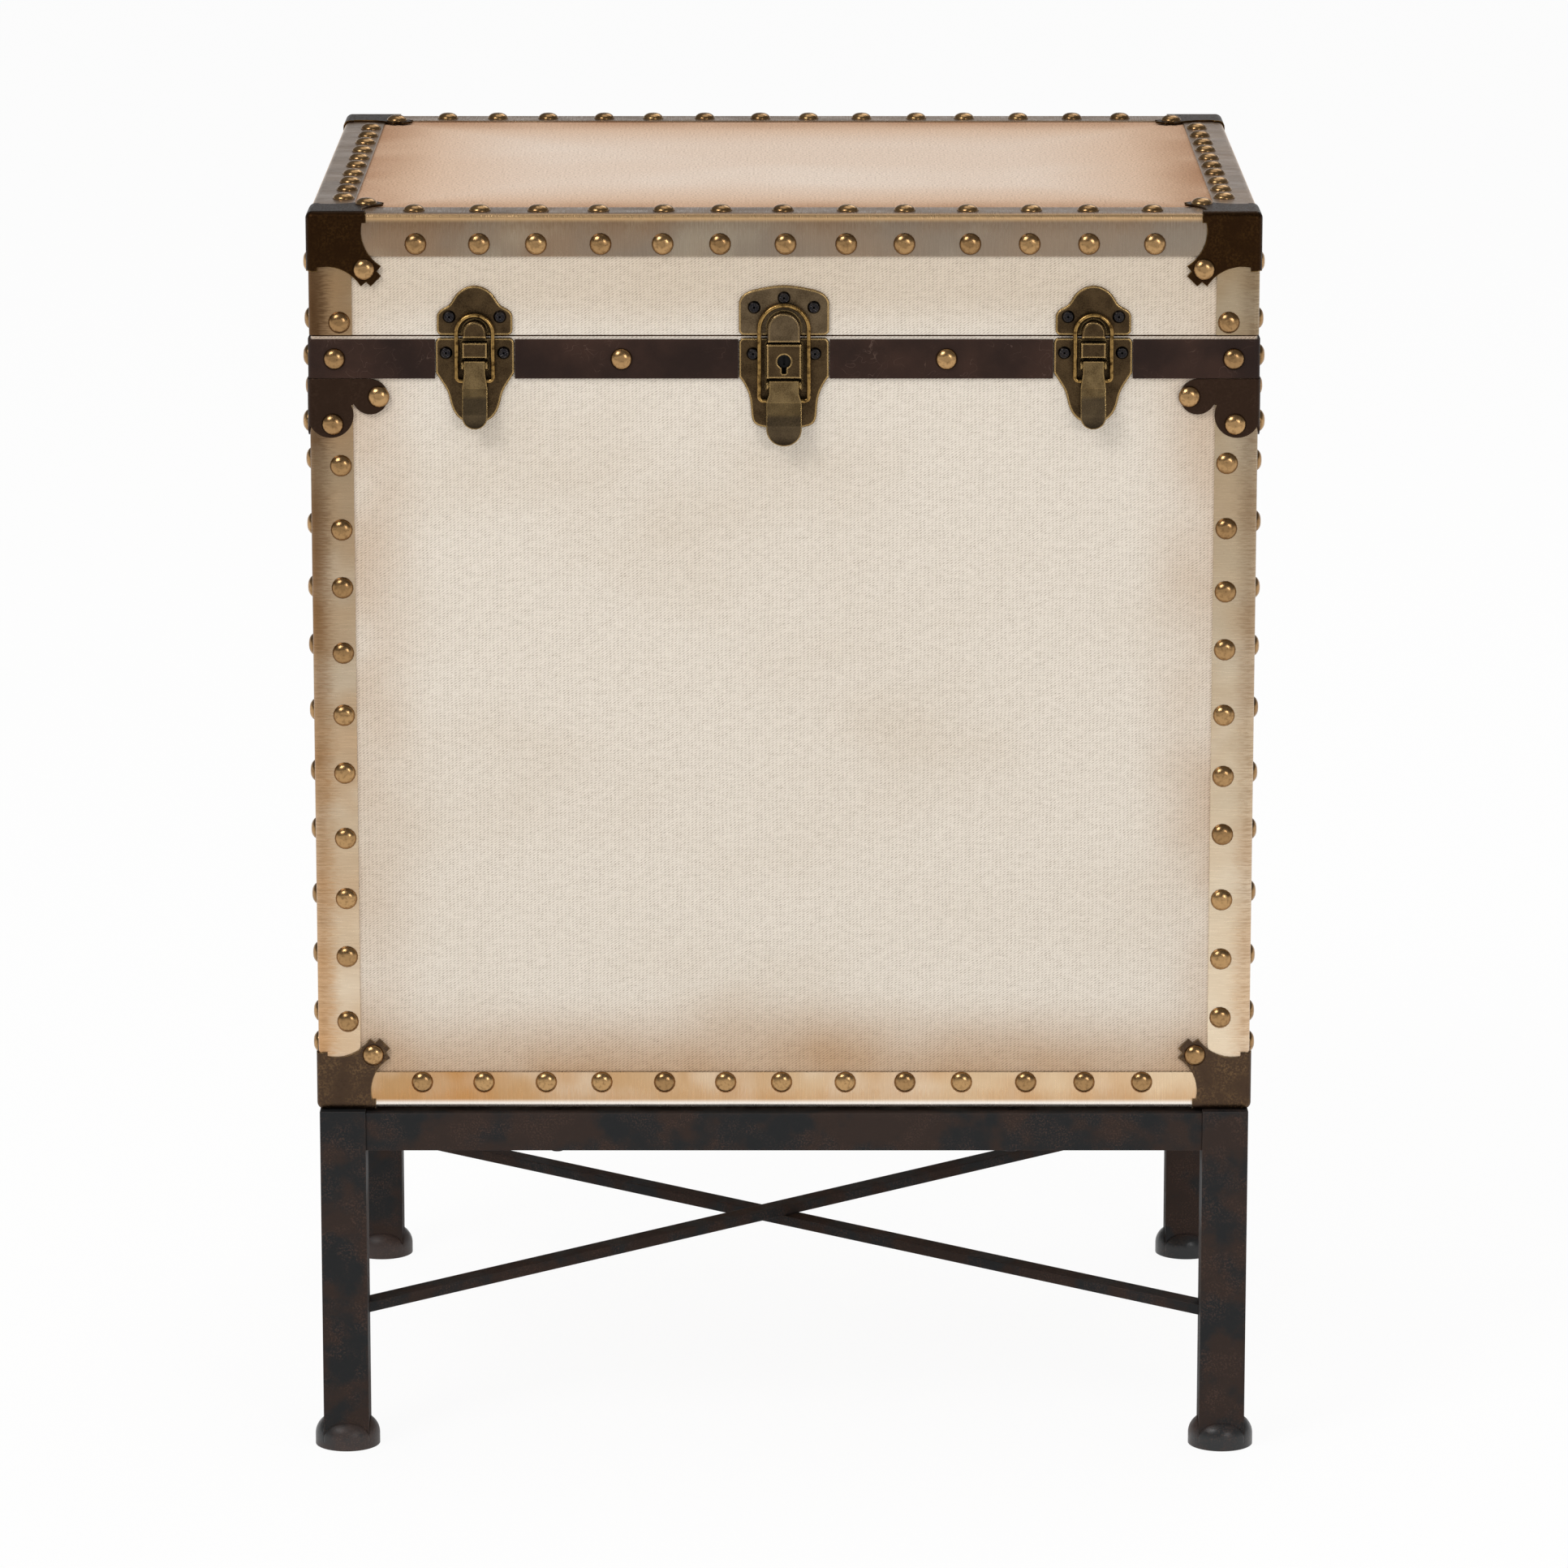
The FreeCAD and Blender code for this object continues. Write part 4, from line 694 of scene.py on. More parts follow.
@dataclass(frozen=True)
class AntiqueBrass:
    """Pressed brass, darkened chemically and rubbed bright again on its high edges, with painted highlights
    and shade.

    The eye sees an olive brown metal with a fine dark mottle, a bright line just inside every
    outline that is partly rubbed brass and partly a painted highlight, side walls painted nearly
    black as shade, and black patina with painted shade left in the corners. A lever is painted
    darker below its fold and nearly black at its tip, as shade where it turns away, and the slot
    of a keyhole is painted black as the shade in the hole. Lengths are in millimetres.
    """

    name: str
    base: str = "#5f4c34"
    dark: str = "#2b2015"
    gold_wear_and_highlight: str = "#f6cd88"
    shade_below_fold: str = "#473d32"
    shaded_tip: str = "#1d1610"
    patina_and_shade: str = "#0d0905"
    slot_shade: str = "#070605"
    mottle: float = 0.8
    roughness: float = 0.26
    rub: float = 0.9
    fleck_width: float = 0.7
    fleck_depth: float = 0.025
    cloud_width: float = 6.0
    border: float = 1.4
    edge_radius: float = 0.7
    patina_and_shade_reach: float = 3.6
    fold_above: float = 1.2
    fold_below: float = 0.6
    tip_reach: float = 7.0
    fold: Optional[float] = None
    tip: float = 0.0
    slot: Optional[Triple] = None

    def build(self) -> bpy.types.Material:
        """Build the brass.

        Returns:
            The material.
        """
        s = Surface(self.name)
        fleck = s.patches(self.fleck_width, 0.36, 0.68, 2)
        cloud = s.add("Math", {0: s.patches(self.cloud_width, 0.3, 0.72), 1: 0.55}, operation="MULTIPLY")
        mottle = s.add("Math", {0: fleck, 1: 0.5, 2: cloud}, operation="MULTIPLY_ADD")
        mottle = s.add("Math", {0: mottle, 1: self.mottle}, operation="MULTIPLY", use_clamp=True)
        tone = s.coat(self.base, self.dark, mottle)
        if self.fold is not None:
            tone = self._lever(s, tone, self.fold)
        edge = s.edge_wear_and_light(self.border)
        # Partly rubbed brass and partly a painted highlight: a bright line just inside every outline.
        tone = s.coat(tone, self.gold_wear_and_highlight, s.add("MapRange", {0: edge, 1: 0.015, 2: 0.06, 4: self.rub}, **SOFT))
        # Painted shade: side walls, turned away from the light, are darkened nearly black.
        tone = s.coat(tone, self.dark, s.add("MapRange", {0: edge, 1: 0.16, 2: 0.3, 4: 0.8}, **SOFT))
        # Black patina and painted shade, darker where a spot is more enclosed, in corners and gaps.
        reach = {"Distance": self.patina_and_shade_reach * MM}
        open_share = s.add("AmbientOcclusion", reach, "AO", samples=EDGE_SAMPLES)
        tone = s.coat(tone, self.patina_and_shade, s.add("MapRange", {0: open_share, 1: 0.84, 2: 0.44, 4: 0.95}))
        # Painted shade: the keyhole's slot is painted black.
        if self.slot:
            tone = s.coat(tone, self.slot_shade, self._keyhole(s, *self.slot))
        rough = s.add("MapRange", {0: fleck, 3: self.roughness, 4: self.roughness + 0.16})
        bump = s.relief(fleck, self.fleck_depth, 0.4, self.edge_radius)
        return s.finish(Base_Color=tone, Metallic=1.0, Roughness=rough, Normal=bump)

    def _lever(self, s: Surface, tone: Any, fold: float) -> Any:
        """Paint shade on a lever below its fold and at its tip, where it turns away from the light.

        Args:
            s: The material that is being built.
            tone: The socket with the brass.
            fold: The fold's height.

        Returns:
            The socket with the new colour.
        """
        z = s.add("SeparateXYZ", {0: s.place}, "Z")
        # Painted shade below the fold, and darker still at the tip.
        links = {0: z, 1: fold + self.fold_above, 2: fold - self.fold_below, 4: 0.7}
        tone = s.coat(tone, self.shade_below_fold, s.add("MapRange", links))
        links = {0: z, 1: self.tip + self.tip_reach, 2: self.tip, 4: 0.85}
        return s.coat(tone, self.shaded_tip, s.add("MapRange", links, **SOFT))

    def _keyhole(self, s: Surface, half: float, low: float, high: float) -> Any:
        """Find the keyhole's slot.

        Args:
            s: The material that is being built.
            half: Half the slot's width.
            low: The height of its lower end.
            high: The height of its upper end.

        Returns:
            The socket with the mask.
        """
        x, _, z = s.add("SeparateXYZ", {0: s.place}).node.outputs
        across = s.add("Math", {0: x, 1: 0.0, 2: half}, operation="COMPARE")
        upright = s.add("Math", {0: z, 1: (low + high) / 2, 2: (high - low) / 2}, operation="COMPARE")
        return s.add("Math", {0: across, 1: upright}, operation="MULTIPLY")


@dataclass(frozen=True)
class BrightBrass:
    """Drawn brass wire and pins: brighter than the plates, with thin dark wear."""

    name: str
    base: str = "#a8864f"
    dark: str = "#4a351b"
    wear_width: float = 2.5

    def build(self) -> bpy.types.Material:
        """Build the wire brass.

        Returns:
            The material.
        """
        s = Surface(self.name)
        tone = s.coat(self.base, self.dark, s.patches(self.wear_width, 0.42, 0.72))
        return s.finish(Base_Color=tone, Metallic=1.0, Roughness=0.25)


@dataclass(frozen=True)
class KeyholeShade:
    """The lock's plug seen through the keyhole: steel painted nearly black as the shade in the hole."""

    name: str
    base: str = "#100e0c"

    def build(self) -> bpy.types.Material:
        """Build the lock steel."""
        s = Surface(self.name)
        return s.finish(Base_Color=self.base, Metallic=0.3, Roughness=0.45, Specular_IOR_Level=0.2)


@dataclass(frozen=True)
class NailBrass:
    """Stamped brass-plated steel nail heads, dipped brown and rubbed on their crowns.

    The eye sees warm brass domes, some darker than others, with a soft highlight and a foot painted dark as
    shade where it meets the strip.
    Each head carries its own tint, and marks its foot.
    """

    name: str
    base: str = "#bd9768"
    dark: str = "#705030"
    fleck: str = "#5d3f22"
    foot: str = "#3a2815"
    fleck_width: float = 1.6
    dent_depth: float = 0.04

    def build(self) -> bpy.types.Material:
        """Build the nail brass.

        Returns:
            The material.
        """
        s = Surface(self.name)
        tint = s.add("Attribute", out="Fac", attribute_name="tint")
        foot = s.add("Attribute", out="Fac", attribute_name="foot")
        tone = s.coat(self.base, self.dark, tint, 0.45)
        tone = s.coat(tone, self.fleck, s.patches(self.fleck_width, 0.45, 0.75, 2), 0.45)
        # Painted shade: the foot of each head, where it meets the strip, is darkened.
        tone = s.coat(tone, self.foot, foot, 0.85)
        links = {"Height": s.patches(self.fleck_width, 0.3, 0.7, 2), "Distance": self.dent_depth * MM}
        bump = s.add("Bump", {**links, "Strength": 0.3})
        return s.finish(Base_Color=tone, Metallic=1.0, Roughness=0.26, Normal=bump)


@dataclass(frozen=True)
class BlackScrew:
    """Black-oxide steel screws: dark, with small sharp glints."""

    name: str
    base: str = "#2c2a2d"
    brown: str = "#3a3532"
    rubbed: str = "#5d5956"
    cloud_width: float = 1.2
    edge_width: float = 0.3
    edge_radius: float = 0.35

    def build(self) -> bpy.types.Material:
        """Build the screw steel.

        Returns:
            The material.
        """
        s = Surface(self.name)
        tone = s.coat(self.base, self.brown, s.patches(self.cloud_width, 0.4, 0.7))
        tone = s.coat(tone, self.rubbed, s.edge_wear_and_light(self.edge_width))
        rounded = s.add("Bevel", {"Radius": self.edge_radius * MM}, samples=EDGE_SAMPLES)
        return s.finish(Base_Color=tone, Metallic=1.0, Roughness=0.24, Normal=rounded)


@dataclass(frozen=True)
class MottledSteel:
    """Welded steel tube under a hammered black and rust paint.

    The eye sees a soft black broken by rust-brown clouds and speckles, nearly matt, with slightly
    rubbed edges. Lengths are in millimetres.
    """

    name: str
    black: str = "#1f2021"
    rust: str = "#332823"
    speck: str = "#503c33"
    rubbed: str = "#6d625c"
    roughness: float = 0.62
    shine: float = 0.18
    cloud_width: float = 24.0
    speck_width: float = 0.8
    flock_width: float = 13.0
    hammer_width: float = 1.6
    hammer_depth: float = 0.1
    edge_width: float = 0.7
    edge_radius: float = 0.9

    def build(self) -> bpy.types.Material:
        """Build the painted steel.

        Returns:
            The material.
        """
        s = Surface(self.name)
        cloud = s.patches(self.cloud_width, 0.43, 0.57, 9)
        tone = s.coat(self.black, self.rust, cloud)
        specks = {0: s.patches(self.speck_width, 0.45, 0.7, 4), 1: s.patches(self.flock_width, 0.4, 0.62, 6)}
        tone = s.coat(tone, self.speck, s.add("Math", specks, operation="MULTIPLY"), 0.6)
        tone = s.coat(tone, self.rubbed, s.edge_wear_and_light(self.edge_width), 0.3)
        hammered = s.patches(self.hammer_width, 0.3, 0.7, 2)
        bump = s.relief(hammered, self.hammer_depth, 0.3, self.edge_radius)
        rough = s.add("MapRange", {0: cloud, 3: self.roughness, 4: self.roughness + 0.16})
        return s.finish(Base_Color=tone, Roughness=rough, Specular_IOR_Level=self.shine, Normal=bump)


@dataclass(frozen=True)
class FibreBoard:
    """Pressed wood-fibre board, sawn: pale brown with a short felted grain."""

    name: str
    base: str = "#b08e66"
    fibre: str = "#8d6d49"
    felt_width: float = 0.8
    felt_depth: float = 0.1

    def build(self) -> bpy.types.Material:
        """Build the board.

        Returns:
            The material.
        """
        s = Surface(self.name)
        felt = s.patches(self.felt_width, 0.35, 0.7, 3, (3, 3, 1))
        tone = s.coat(self.base, self.fibre, felt)
        bump = s.add("Bump", {"Height": felt, "Distance": self.felt_depth * MM, "Strength": 0.4})
        return s.finish(Base_Color=tone, Roughness=0.85, Normal=bump)


@dataclass(frozen=True)
class LiningPaper:
    """Thick uncoated lining paper: warm cream with faint fibres and a little foxing."""

    name: str
    base: str = "#d9cab2"
    fibre: str = "#c3b091"
    foxing: str = "#b79469"
    fibre_width: float = 1.1
    fibre_depth: float = 0.04
    foxing_width: float = 16.0

    def build(self) -> bpy.types.Material:
        """Build the paper.

        Returns:
            The material.
        """
        s = Surface(self.name)
        fibre = s.patches(self.fibre_width, 0.4, 0.75)
        tone = s.coat(self.base, self.fibre, fibre, 0.5)
        tone = s.coat(tone, self.foxing, s.patches(self.foxing_width, 0.6, 0.8), 0.22)
        bump = s.add("Bump", {"Height": fibre, "Distance": self.fibre_depth * MM, "Strength": 0.4})
        return s.finish(Base_Color=tone, Roughness=0.9, Normal=bump)


@dataclass(frozen=True)
class Seat:
    """Where one fastener's head rests, and the way that it faces."""

    point: Vector
    way_out: Vector


def seats_of(node: bpy.types.Object, rise: float, weld: float = 0.002 * MM) -> list[Seat]:
    """Find the seats of a group of fasteners in a frame node.

    Each fastener is one loose part of the node's mesh, lying along an axis, with most of its points
    in its head.

    Args:
        node: The frame's object.
        rise: How far a head stands off its seat, in metres.
        weld: How close points are that count as one, in metres.

    Returns:
        The seats, sorted by place.
    """
    mesh = bmesh.new()
    mesh.from_mesh(node.data)
    bmesh.ops.remove_doubles(mesh, verts=mesh.verts, dist=weld)
    waiting = set(mesh.verts)
    seats = []
    while waiting:
        group = [waiting.pop()]
        for vert in group:
            for edge in vert.link_edges:
                other = edge.other_vert(vert)
                if other in waiting:
                    waiting.remove(other)
                    group.append(other)
        low = Vector([min(v.co[i] for v in group) for i in range(3)])
        high = Vector([max(v.co[i] for v in group) for i in range(3)])
        point = (low + high) / 2
        lean = sum((v.co for v in group), Vector()) / len(group) - point
        axis = max(range(3), key=lambda i: abs(lean[i]))
        way_out = Vector((0.0, 0.0, 0.0))
        way_out[axis] = 1.0 if lean[axis] > 0 else -1.0
        point[axis] = high[axis] - rise if lean[axis] > 0 else low[axis] + rise
        seats.append(Seat(point, way_out))
    mesh.free()
    return sorted(seats, key=lambda seat: tuple(round(c, 5) for c in seat.point))


class HeadTree(Nodes):
    """A geometry node tree that sets one head on every seat."""

    family = ""

    def __init__(self, name: str, *sizes: str) -> None:
        """Start a tree with its geometry in and out, its named sizes and its finish.

        Args:
            name: The tree's name.
            sizes: The names of its lengths.
        """
        super().__init__(bpy.data.node_groups.new(name, "GeometryNodeTree"))
        face = self.tree.interface
        for way in ("INPUT", "OUTPUT"):
            face.new_socket("Geometry", in_out=way, socket_type="NodeSocketGeometry")
        kinds = {**{label: "NodeSocketFloat" for label in sizes}, "Finish": "NodeSocketMaterial"}
        self.identifiers: dict[str, str] = {}
        for label, kind in kinds.items():
            self.identifiers[label] = face.new_socket(label, in_out="INPUT", socket_type=kind).identifier
        self.sizes = self.add("NodeGroupInput").node.outputs

    def spread(self, head: Any, seed: int) -> None:
        """Set a head on every seat, tinted and turned by chance, and end the tree.

        Args:
            head: The socket with one head.
            seed: What fixes the chance.
        """
        way = self.add("GeometryNodeInputNamedAttribute", {"Name": "way_out"}, data_type="FLOAT_VECTOR")
        turn = self.add("FunctionNodeAlignRotationToVector", {"Vector": way}, axis="Z")
        chance = self.add("FunctionNodeRandomValue", {"Seed": seed}, 1, data_type="FLOAT")
        spin = self.add("ShaderNodeMath", {0: chance, 1: 2 * math.pi}, operation="MULTIPLY")
        about = self.add("FunctionNodeAxisAngleToRotation", {"Axis": (0, 0, 1), "Angle": spin})
        turn = self.add("FunctionNodeRotateRotation", {0: turn, 1: about}, rotation_space="LOCAL")
        links = {"Points": self.sizes["Geometry"], "Instance": head, "Rotation": turn}
        set_out = self.add("GeometryNodeInstanceOnPoints", links)
        tint = self.add("FunctionNodeRandomValue", {"Seed": seed + 1}, 1, data_type="FLOAT")
        links = {"Geometry": set_out, "Name": "tint", "Value": tint}
        stored = self.add("GeometryNodeStoreNamedAttribute", links, data_type="FLOAT", domain="INSTANCE")
        plain = self.add("GeometryNodeRealizeInstances", {0: stored})
        links = {"Geometry": plain, "Material": self.sizes["Finish"]}
        self.add("NodeGroupOutput", {0: self.add("GeometryNodeSetMaterial", links)})

    def make(self, name: str, seats: list[Seat], values: dict[str, Any]) -> bpy.types.Object:
        """Run the tree on a list of seats.

        Args:
            name: The new piece's name.
            seats: Where the heads go.
            values: The tree's inputs by name.

        Returns:
            A plain mesh object with no modifier.
        """
        points = bpy.data.meshes.new(name + "_seats")
        points.from_pydata([seat.point for seat in seats], [], [])
        ways = points.attributes.new("way_out", "FLOAT_VECTOR", "POINT")
        for value, seat in zip(ways.data, seats):
            value.vector = seat.way_out
        piece = bpy.data.objects.new(name, points)
        bpy.context.scene.collection.objects.link(piece)
        modifier = piece.modifiers.new("heads", "NODES")
        modifier.node_group = self.tree
        for label, value in values.items():
            modifier[self.identifiers[label]] = value
        evaluated = piece.evaluated_get(bpy.context.evaluated_depsgraph_get())
        mesh = bpy.data.meshes.new_from_object(evaluated)
        piece.modifiers.remove(modifier)
        piece.data = mesh
        mesh.name = name
        return piece


@dataclass
class NailHeads:
    """The domed nails along the strips, the caps and the band."""

    head: float = 5.2 * MM
    rise: float = 2.6 * MM
    rim: float = 0.5 * MM
    shoulder_share: float = 0.66
    crown_share: float = 0.83
    pole_radius: float = 0.004 * MM
    weld: float = 0.02 * MM
    sides: int = 18
    rings: int = 6
    seed: int = 7

    def tree(self) -> HeadTree:
        """Turn a dome on a short rim.

        Returns:
            The node tree.
        """
        heads = HeadTree("domed_nail", "Head radius", "Rise", "Rim height")
        radius = heads.sizes["Head radius"]
        rise = heads.sizes["Rise"]
        shoulder = heads.add("ShaderNodeMath", {0: radius, 1: self.shoulder_share}, operation="MULTIPLY")
        crown = heads.add("ShaderNodeMath", {0: rise, 1: -self.crown_share}, operation="MULTIPLY")
        top = heads.add("ShaderNodeMath", {0: rise, 1: -1.0}, operation="MULTIPLY")
        foot = heads.add("ShaderNodeMath", {0: heads.sizes["Rim height"], 1: -1.0}, operation="MULTIPLY")
        points = {
            "Start": heads.add("ShaderNodeCombineXYZ", {1: top}),
            "Middle": heads.add("ShaderNodeCombineXYZ", {0: shoulder, 1: crown}),
            "End": heads.add("ShaderNodeCombineXYZ", {0: radius, 1: foot}),
        }
        dome = heads.add("GeometryNodeCurveArc", {"Resolution": self.rings, **points}, mode="POINTS")
        base = heads.add("ShaderNodeCombineXYZ", {0: radius})
        rim = heads.add("GeometryNodeCurvePrimitiveLine", {"Start": points["End"], "End": base})
        turn = {"Resolution": self.sides, "Radius": self.pole_radius}
        path = heads.add("GeometryNodeCurvePrimitiveCircle", turn)
        joined = heads.add("GeometryNodeJoinGeometry")
        for profile, low in ((dome, 0.0), (rim, 1.0)):
            shell = heads.add("GeometryNodeCurveToMesh", {"Curve": path, "Profile Curve": profile})
            # The rim is marked as the foot, where the nail brass paints shade.
            links = {"Geometry": shell, "Name": "foot", "Value": low}
            shell = heads.add("GeometryNodeStoreNamedAttribute", links, data_type="FLOAT")
            heads.feed(joined.node, {0: shell})
        whole = heads.add("GeometryNodeMergeByDistance", {0: joined, "Distance": self.weld})
        heads.spread(heads.add("GeometryNodeSetShadeSmooth", {0: whole}), self.seed)
        return heads

    def build(self, nodes: Pieces, finish: bpy.types.Material) -> None:
        """Replace the frame's nails by dressed domes.

        Args:
            nodes: The frame's objects by name.
            finish: The nails' brass.
        """
        heads = self.tree()
        sizes = {"Head radius": self.head, "Rise": self.rise, "Rim height": self.rim, "Finish": finish}
        for node, body in (("box_nails", "base"), ("lid_nails", "lid")):
            seats = seats_of(nodes[node], self.rise)
            piece = heads.make(node.replace("nails", "nail_heads"), seats, sizes)
            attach(piece, body)
            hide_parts(node)
            LOG.info("%s: %d nails", piece.name, len(seats))


@dataclass
class ScrewHeads:
    """The cross-head screws of the plates, the hinges and the stand."""

    head: float = 3.1 * MM
    rise: float = 1.4 * MM
    stand_head: float = 4.0 * MM
    stand_rise: float = 2.2 * MM
    crown_share: float = 0.72
    slot_width: float = 0.9 * MM
    slot_share: float = 1.3
    slot_lift_share: float = 1.45
    sides: int = 24
    seed: int = 11

    def tree(self) -> HeadTree:
        """Turn a head and cut a cross into it.

        Returns:
            The node tree.
        """
        heads = HeadTree("cross_head_screw", "Head radius", "Rise", "Slot width", "Slot length")
        radius = heads.sizes["Head radius"]
        rise = heads.sizes["Rise"]
        crown = heads.add("ShaderNodeMath", {0: radius, 1: self.crown_share}, operation="MULTIPLY")
        cone = {"Vertices": self.sides, "Radius Top": crown, "Radius Bottom": radius, "Depth": rise}
        body = heads.add("GeometryNodeMeshCone", cone, fill_type="NGON")
        lift = heads.add("ShaderNodeMath", {0: rise, 1: self.slot_lift_share}, operation="MULTIPLY")
        lifted = heads.add("ShaderNodeCombineXYZ", {2: lift})
        for across, along in (("Slot length", "Slot width"), ("Slot width", "Slot length")):
            links = {0: heads.sizes[across], 1: heads.sizes[along], 2: rise}
            bar = heads.add("GeometryNodeMeshCube", {"Size": heads.add("ShaderNodeCombineXYZ", links)})
            bar = heads.add("GeometryNodeTransform", {"Geometry": bar, "Translation": lifted})
            links = {"Mesh 1": body, "Mesh 2": bar}
            body = heads.add("GeometryNodeMeshBoolean", links, operation="DIFFERENCE")
        links = {"Geometry": body, "Name": "foot", "Value": 0.0}
        heads.spread(heads.add("GeometryNodeStoreNamedAttribute", links, data_type="FLOAT"), self.seed)
        return heads

    def build(self, nodes: Pieces, finish: bpy.types.Material) -> None:
        """Replace the frame's screws by dressed heads.

        Args:
            nodes: The frame's objects by name.
            finish: The screws' steel.
        """
        heads = self.tree()
        groups = (
            ("box_screws", "base", self.head, self.rise),
            ("lid_screws", "lid", self.head, self.rise),
            ("stand_screws", "base", self.stand_head, self.stand_rise),
        )
        for node, body, head, rise in groups:
            seats = seats_of(nodes[node], rise)
            sizes = {
                "Head radius": head,
                "Rise": rise,
                "Slot width": self.slot_width,
                "Slot length": head * self.slot_share,
                "Finish": finish,
            }
            piece = heads.make(node.replace("screws", "screw_heads"), seats, sizes)
            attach(piece, body)
            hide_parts(node)
            LOG.info("%s: %d screws", piece.name, len(seats))


def dress(nodes: Pieces, finish: bpy.types.Material, *starts: str) -> None:
    """Give a finish to every frame node whose name begins with one of some words.

    Args:
        nodes: The frame's objects by name.
        finish: The material.
        starts: The beginnings of the nodes' names.
    """
    for name, node in nodes.items():
        if name.startswith(starts):
            node.data.materials.clear()
            node.data.materials.append(finish)
            LOG.info("%s: %s", name, finish.name)


@dataclass
class Trunk:
    """The canvas box and lid with their strips, caps, band and lining."""

    nodes: Pieces
    size: TrunkSize

    def build(self) -> None:
        """Dress the boards, the cloth, the paper and the leather, then the metal edges."""
        boards = [name for name in self.nodes if name.endswith("_board")]
        dress(self.nodes, FibreBoard("pressed_fibre_board").build(), *boards)
        dress(self.nodes, WovenCanvas("woven_cotton_canvas", self.size).build(), "box_canvas", "lid_canvas")
        dress(self.nodes, LiningPaper("uncoated_lining_paper").build(), "box_lining", "lid_lining")
        dress(self.nodes, HideLeather("waxed_cowhide").build(), "leather_band")
        self._strips()
        self._caps()

    def _strips(self) -> None:
        """Dress the strips on the upright corners, round the lid and round the bottom."""
        size = self.size
        upright = ChampagneStrip("champagne_aluminium_upright", size, Run.UPRIGHT, size.top)
        dress(self.nodes, upright.build(), "box_corner_strips", "lid_corner_strips")
        lid = ChampagneStrip(
            "champagne_aluminium_lid",
            size,
            Run.RING,
            size.top,
            dark="#a09282",
            lacquer="#8a6743",
            lacquer_share=0.5,
            fold_highlight_share=0.8,
            fold_highlight="#e0b886",
        )
        dress(self.nodes, lid.build(), "lid_edge_strips")
        low = ChampagneStrip(
            "champagne_aluminium_bottom",
            size,
            Run.RING,
            size.bottom,
            pale="#efd6b3",
            left_brown=0.95,
            stain=0.8,
            ticks=0.0,
            fold_highlight_share=1.0,
        )
        dress(self.nodes, low.build(), "box_bottom_strips")

    def _caps(self) -> None:
        """Dress the caps on the lid's corners, the bottom corners and under the band."""
        lid = BronzedCap("bronzed_steel_lid_cap", "#2e1d0f", "#4a3319", "#b58f55")
        dress(self.nodes, lid.build(), "lid_corner_caps")
        low = BronzedCap("bronzed_steel_bottom_cap", "#4f3e31", "#7d6347", "#c3a070", 0.9, 0.46, 0.8)
        dress(self.nodes, low.build(), "box_bottom_caps")
        clover = BronzedCap("bronzed_steel_clover", "#382920", "#4a382d", "#6a5240", 0.5, 0.42, 0.3)
        dress(self.nodes, clover.build(), "box_top_caps")


@dataclass
class Stand:
    """The welded steel stand."""

    nodes: Pieces

    def build(self) -> None:
        """Dress the legs, the rails, the crossed bars and the feet."""
        steel = MottledSteel("mottled_painted_steel")
        dress(self.nodes, steel.build(), "leg_", "rail_", "stretcher_")
        cast = MottledSteel(
            "mottled_cast_foot", "#232425", "#372b27", "#503e36", roughness=0.32, shine=0.4
        )
        dress(self.nodes, cast.build(), "foot_")


@dataclass
class Catches:
    """The two side catches, the centre lock and the hinges, with the keyhole's slot in millimetres."""

    nodes: Pieces
    slot_half: float = 1.15
    slot_drop: float = 5.9
    fold_share: float = 0.46

    def build(self) -> None:
        """Dress the plates, the strikes, the levers, the bails, the pins and the hinges."""
        plate = AntiqueBrass("antique_brass_plate")
        dress(self.nodes, plate.build(), "catch_plate", "catch_strike", "hinge_box", "hinge_lid")
        strike = AntiqueBrass("antique_brass_lock_strike", "#7c6950", "#413424")
        dress(self.nodes, strike.build(), "lock_strike")
        low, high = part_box("lock_plug")
        middle = (low.z + high.z) / 2 / MM
        slot = (self.slot_half, middle - self.slot_drop, middle)
        dress(self.nodes, AntiqueBrass("antique_brass_lock_plate", slot=slot).build(), "lock_plate")
        for kind, sample in (("catch_lever", "catch_lever_left"), ("lock_lever", "lock_lever")):
            dress(self.nodes, self._lever(kind, sample), kind)
        wire = BrightBrass("drawn_brass_wire").build()
        dress(self.nodes, wire, "catch_bail", "lock_bail", "lever_pins", "hinge_pins")
        dress(self.nodes, KeyholeShade("keyhole_plug_painted_shade").build(), "lock_plug")

    def _lever(self, kind: str, sample: str) -> bpy.types.Material:
        """Build the brass of one kind of lever.

        Args:
            kind: The kind, as its nodes' names begin.
            sample: One lever of that kind.

        Returns:
            The material.
        """
        low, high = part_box(sample)
        fold = (low.z + self.fold_share * (high.z - low.z)) / MM
        name = f"antique_brass_{kind}"
        brass = AntiqueBrass(name, "#8f7853", "#453520", border=0.9, rub=0.8, fold=fold, tip=low.z / MM)
        return brass.build()


@dataclass(frozen=True)
class Lamp:
    """A square soft lamp, in metres and watts."""

    name: str
    place: Triple
    side: float
    power: float

    def hang(self, target: Triple) -> None:
        """Hang the lamp so that it faces a point.

        Args:
            target: The point, in metres.
        """
        data = bpy.data.lights.new(self.name, "AREA")
        data.shape = "SQUARE"
        data.size = self.side
        data.energy = self.power
        lamp = bpy.data.objects.new(self.name, data)
        lamp.location = self.place
        aim = Vector(target) - Vector(self.place)
        lamp.rotation_euler = aim.to_track_quat("-Z", "Y").to_euler()
        bpy.context.scene.collection.objects.link(lamp)


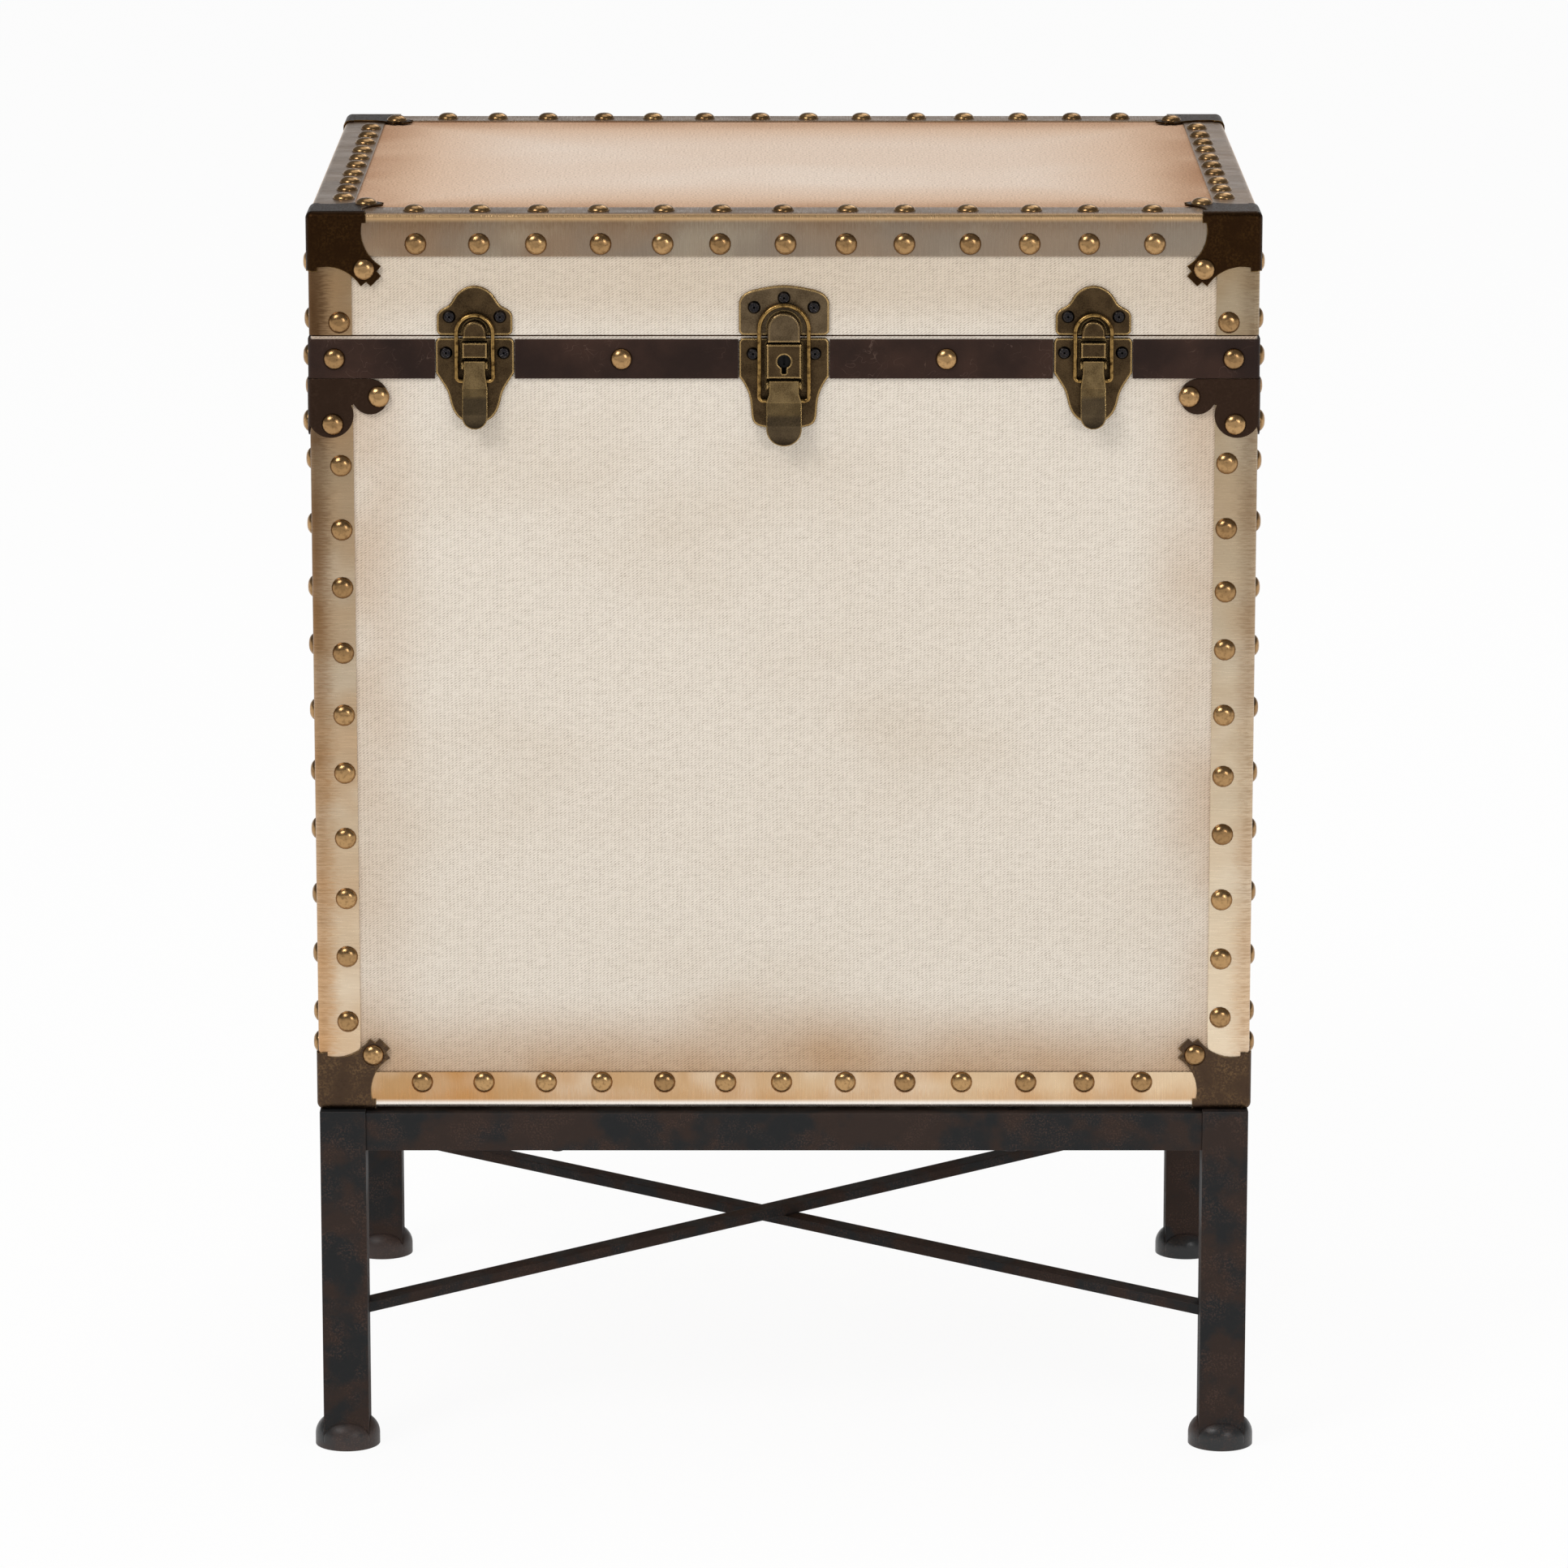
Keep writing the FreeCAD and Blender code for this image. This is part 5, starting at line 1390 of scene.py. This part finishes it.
@dataclass
class Studio:
    """A white paper sweep in a dim room, soft lamps and the camera. Lengths are in metres."""

    lens: float = 175.8
    sensor: float = 36.0
    camera_place: Triple = (0.0, -3.759, 1.130)
    camera_pitch: float = 77.44
    camera_reach: float = 60.0
    paper_half: float = 14.0
    paper_white: str = "#f7f6f5"
    lit_front: float = -2.0
    lit_fade: float = 0.3
    white_share: float = 0.93
    world_strength: float = 0.62
    overhead: float = 0.16
    dim_start: float = 0.02
    dim_full: float = 0.3
    beyond: float = 0.5
    target: Triple = (0.0, 0.0, 0.35)
    lamps: tuple[Lamp, ...] = (
        Lamp("key", (-1.5, -1.9, 2.7), 1.1, 34.0),
        Lamp("fill", (1.5, -3.2, 1.5), 0.9, 18.0),
        Lamp("top", (0.1, 0.5, 2.8), 1.4, 6.0),
        Lamp("back", (0.9, 2.2, 2.7), 1.4, 12.0),
    )

    def build(self) -> None:
        """Set the whole stage up."""
        self._camera()
        self._floor()
        self._world()
        for lamp in self.lamps:
            lamp.hang(self.target)
        bpy.context.scene.view_settings.view_transform = "Standard"

    def _camera(self) -> None:
        """Put the camera where the picture was taken from."""
        data = bpy.data.cameras.new("camera")
        data.lens = self.lens
        data.sensor_width = self.sensor
        data.clip_end = self.camera_reach
        camera = bpy.data.objects.new("camera", data)
        camera.location = self.camera_place
        camera.rotation_euler = (math.radians(self.camera_pitch), 0.0, 0.0)
        bpy.context.scene.collection.objects.link(camera)
        bpy.context.scene.camera = camera

    def _seen(self, board: Nodes) -> Any:
        """Mask the rays that see the backdrop itself: camera, mirror and glass.

        Args:
            board: The nodes of the backdrop.

        Returns:
            The socket with the mask.
        """
        path = board.add("LightPath").node.outputs
        seen = board.add("Math", {0: path["Is Camera Ray"], 1: path["Is Glossy Ray"]}, operation="MAXIMUM")
        return board.add("Math", {0: seen, 1: path["Is Transmission Ray"]}, operation="MAXIMUM")

    def _floor(self) -> None:
        """Lay a sheet of white paper that keeps a soft shadow and mirrors dimmer far in front."""
        mesh = bpy.data.meshes.new("paper_sweep")
        half = self.paper_half
        corners = [(-half, -half, 0.0), (half, -half, 0.0), (half, half, 0.0), (-half, half, 0.0)]
        mesh.from_pydata(corners, [], [(0, 1, 2, 3)])
        floor = bpy.data.objects.new("paper_sweep", mesh)
        bpy.context.scene.collection.objects.link(floor)
        material = bpy.data.materials.new("white_paper")
        material.use_nodes = True
        board = Nodes(material.node_tree)
        board.tree.nodes.clear()
        deep = board.add("SeparateXYZ", {0: board.add("TexCoord", out="Object")}, "Y")
        edge = {1: self.lit_front - self.lit_fade, 2: self.lit_front, 3: self.beyond, 4: 1.0}
        mirrored = board.add("MapRange", {0: deep, **edge})
        glossy = board.add("LightPath", out="Is Glossy Ray")
        white = board.add("Emission", {"Strength": board.add("Mix", {0: glossy, 2: 1.0, 3: mirrored})})
        paper = board.add("BsdfDiffuse", {"Color": self.paper_white})
        share = board.add("Math", {0: self._seen(board), 1: self.white_share}, operation="MULTIPLY")
        board.add("OutputMaterial", {0: board.add("MixShader", {0: share, 1: paper, 2: white})})
        mesh.materials.append(material)

    def _world(self) -> None:
        """Make a white room that mirrors dim overhead, with even light for matt surfaces."""
        world = bpy.data.worlds.new("studio_room")
        world.use_nodes = True
        board = Nodes(world.node_tree)
        board.tree.nodes.clear()
        rise = board.add("SeparateXYZ", {0: board.add("TexCoord", out="Generated")}, "Z")
        room = board.add("MapRange", {0: rise, 1: self.dim_start, 2: self.dim_full, 3: 1.0, 4: self.overhead})
        glossy = board.add("LightPath", out="Is Glossy Ray")
        shown = board.add("Mix", {0: glossy, 2: 1.0, 3: room})
        strength = board.add("Mix", {0: self._seen(board), 2: self.world_strength, 3: shown})
        board.add("OutputWorld", {0: board.add("Background", {0: "#ffffff", 1: strength})})
        bpy.context.scene.world = world


def main() -> None:
    """Load the frame, dress every piece and set up the stage."""
    logging.basicConfig(level=logging.INFO, format="%(name)s %(message)s")
    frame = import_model()
    nodes = frame["nodes"]
    Trunk(nodes, TrunkSize.from_frame()).build()
    Stand(nodes).build()
    Catches(nodes).build()
    NailHeads().build(nodes, NailBrass("stamped_nail_brass").build())
    ScrewHeads().build(nodes, BlackScrew("black_oxide_steel").build())
    Studio().build()


if __name__ == "__main__":
    main()
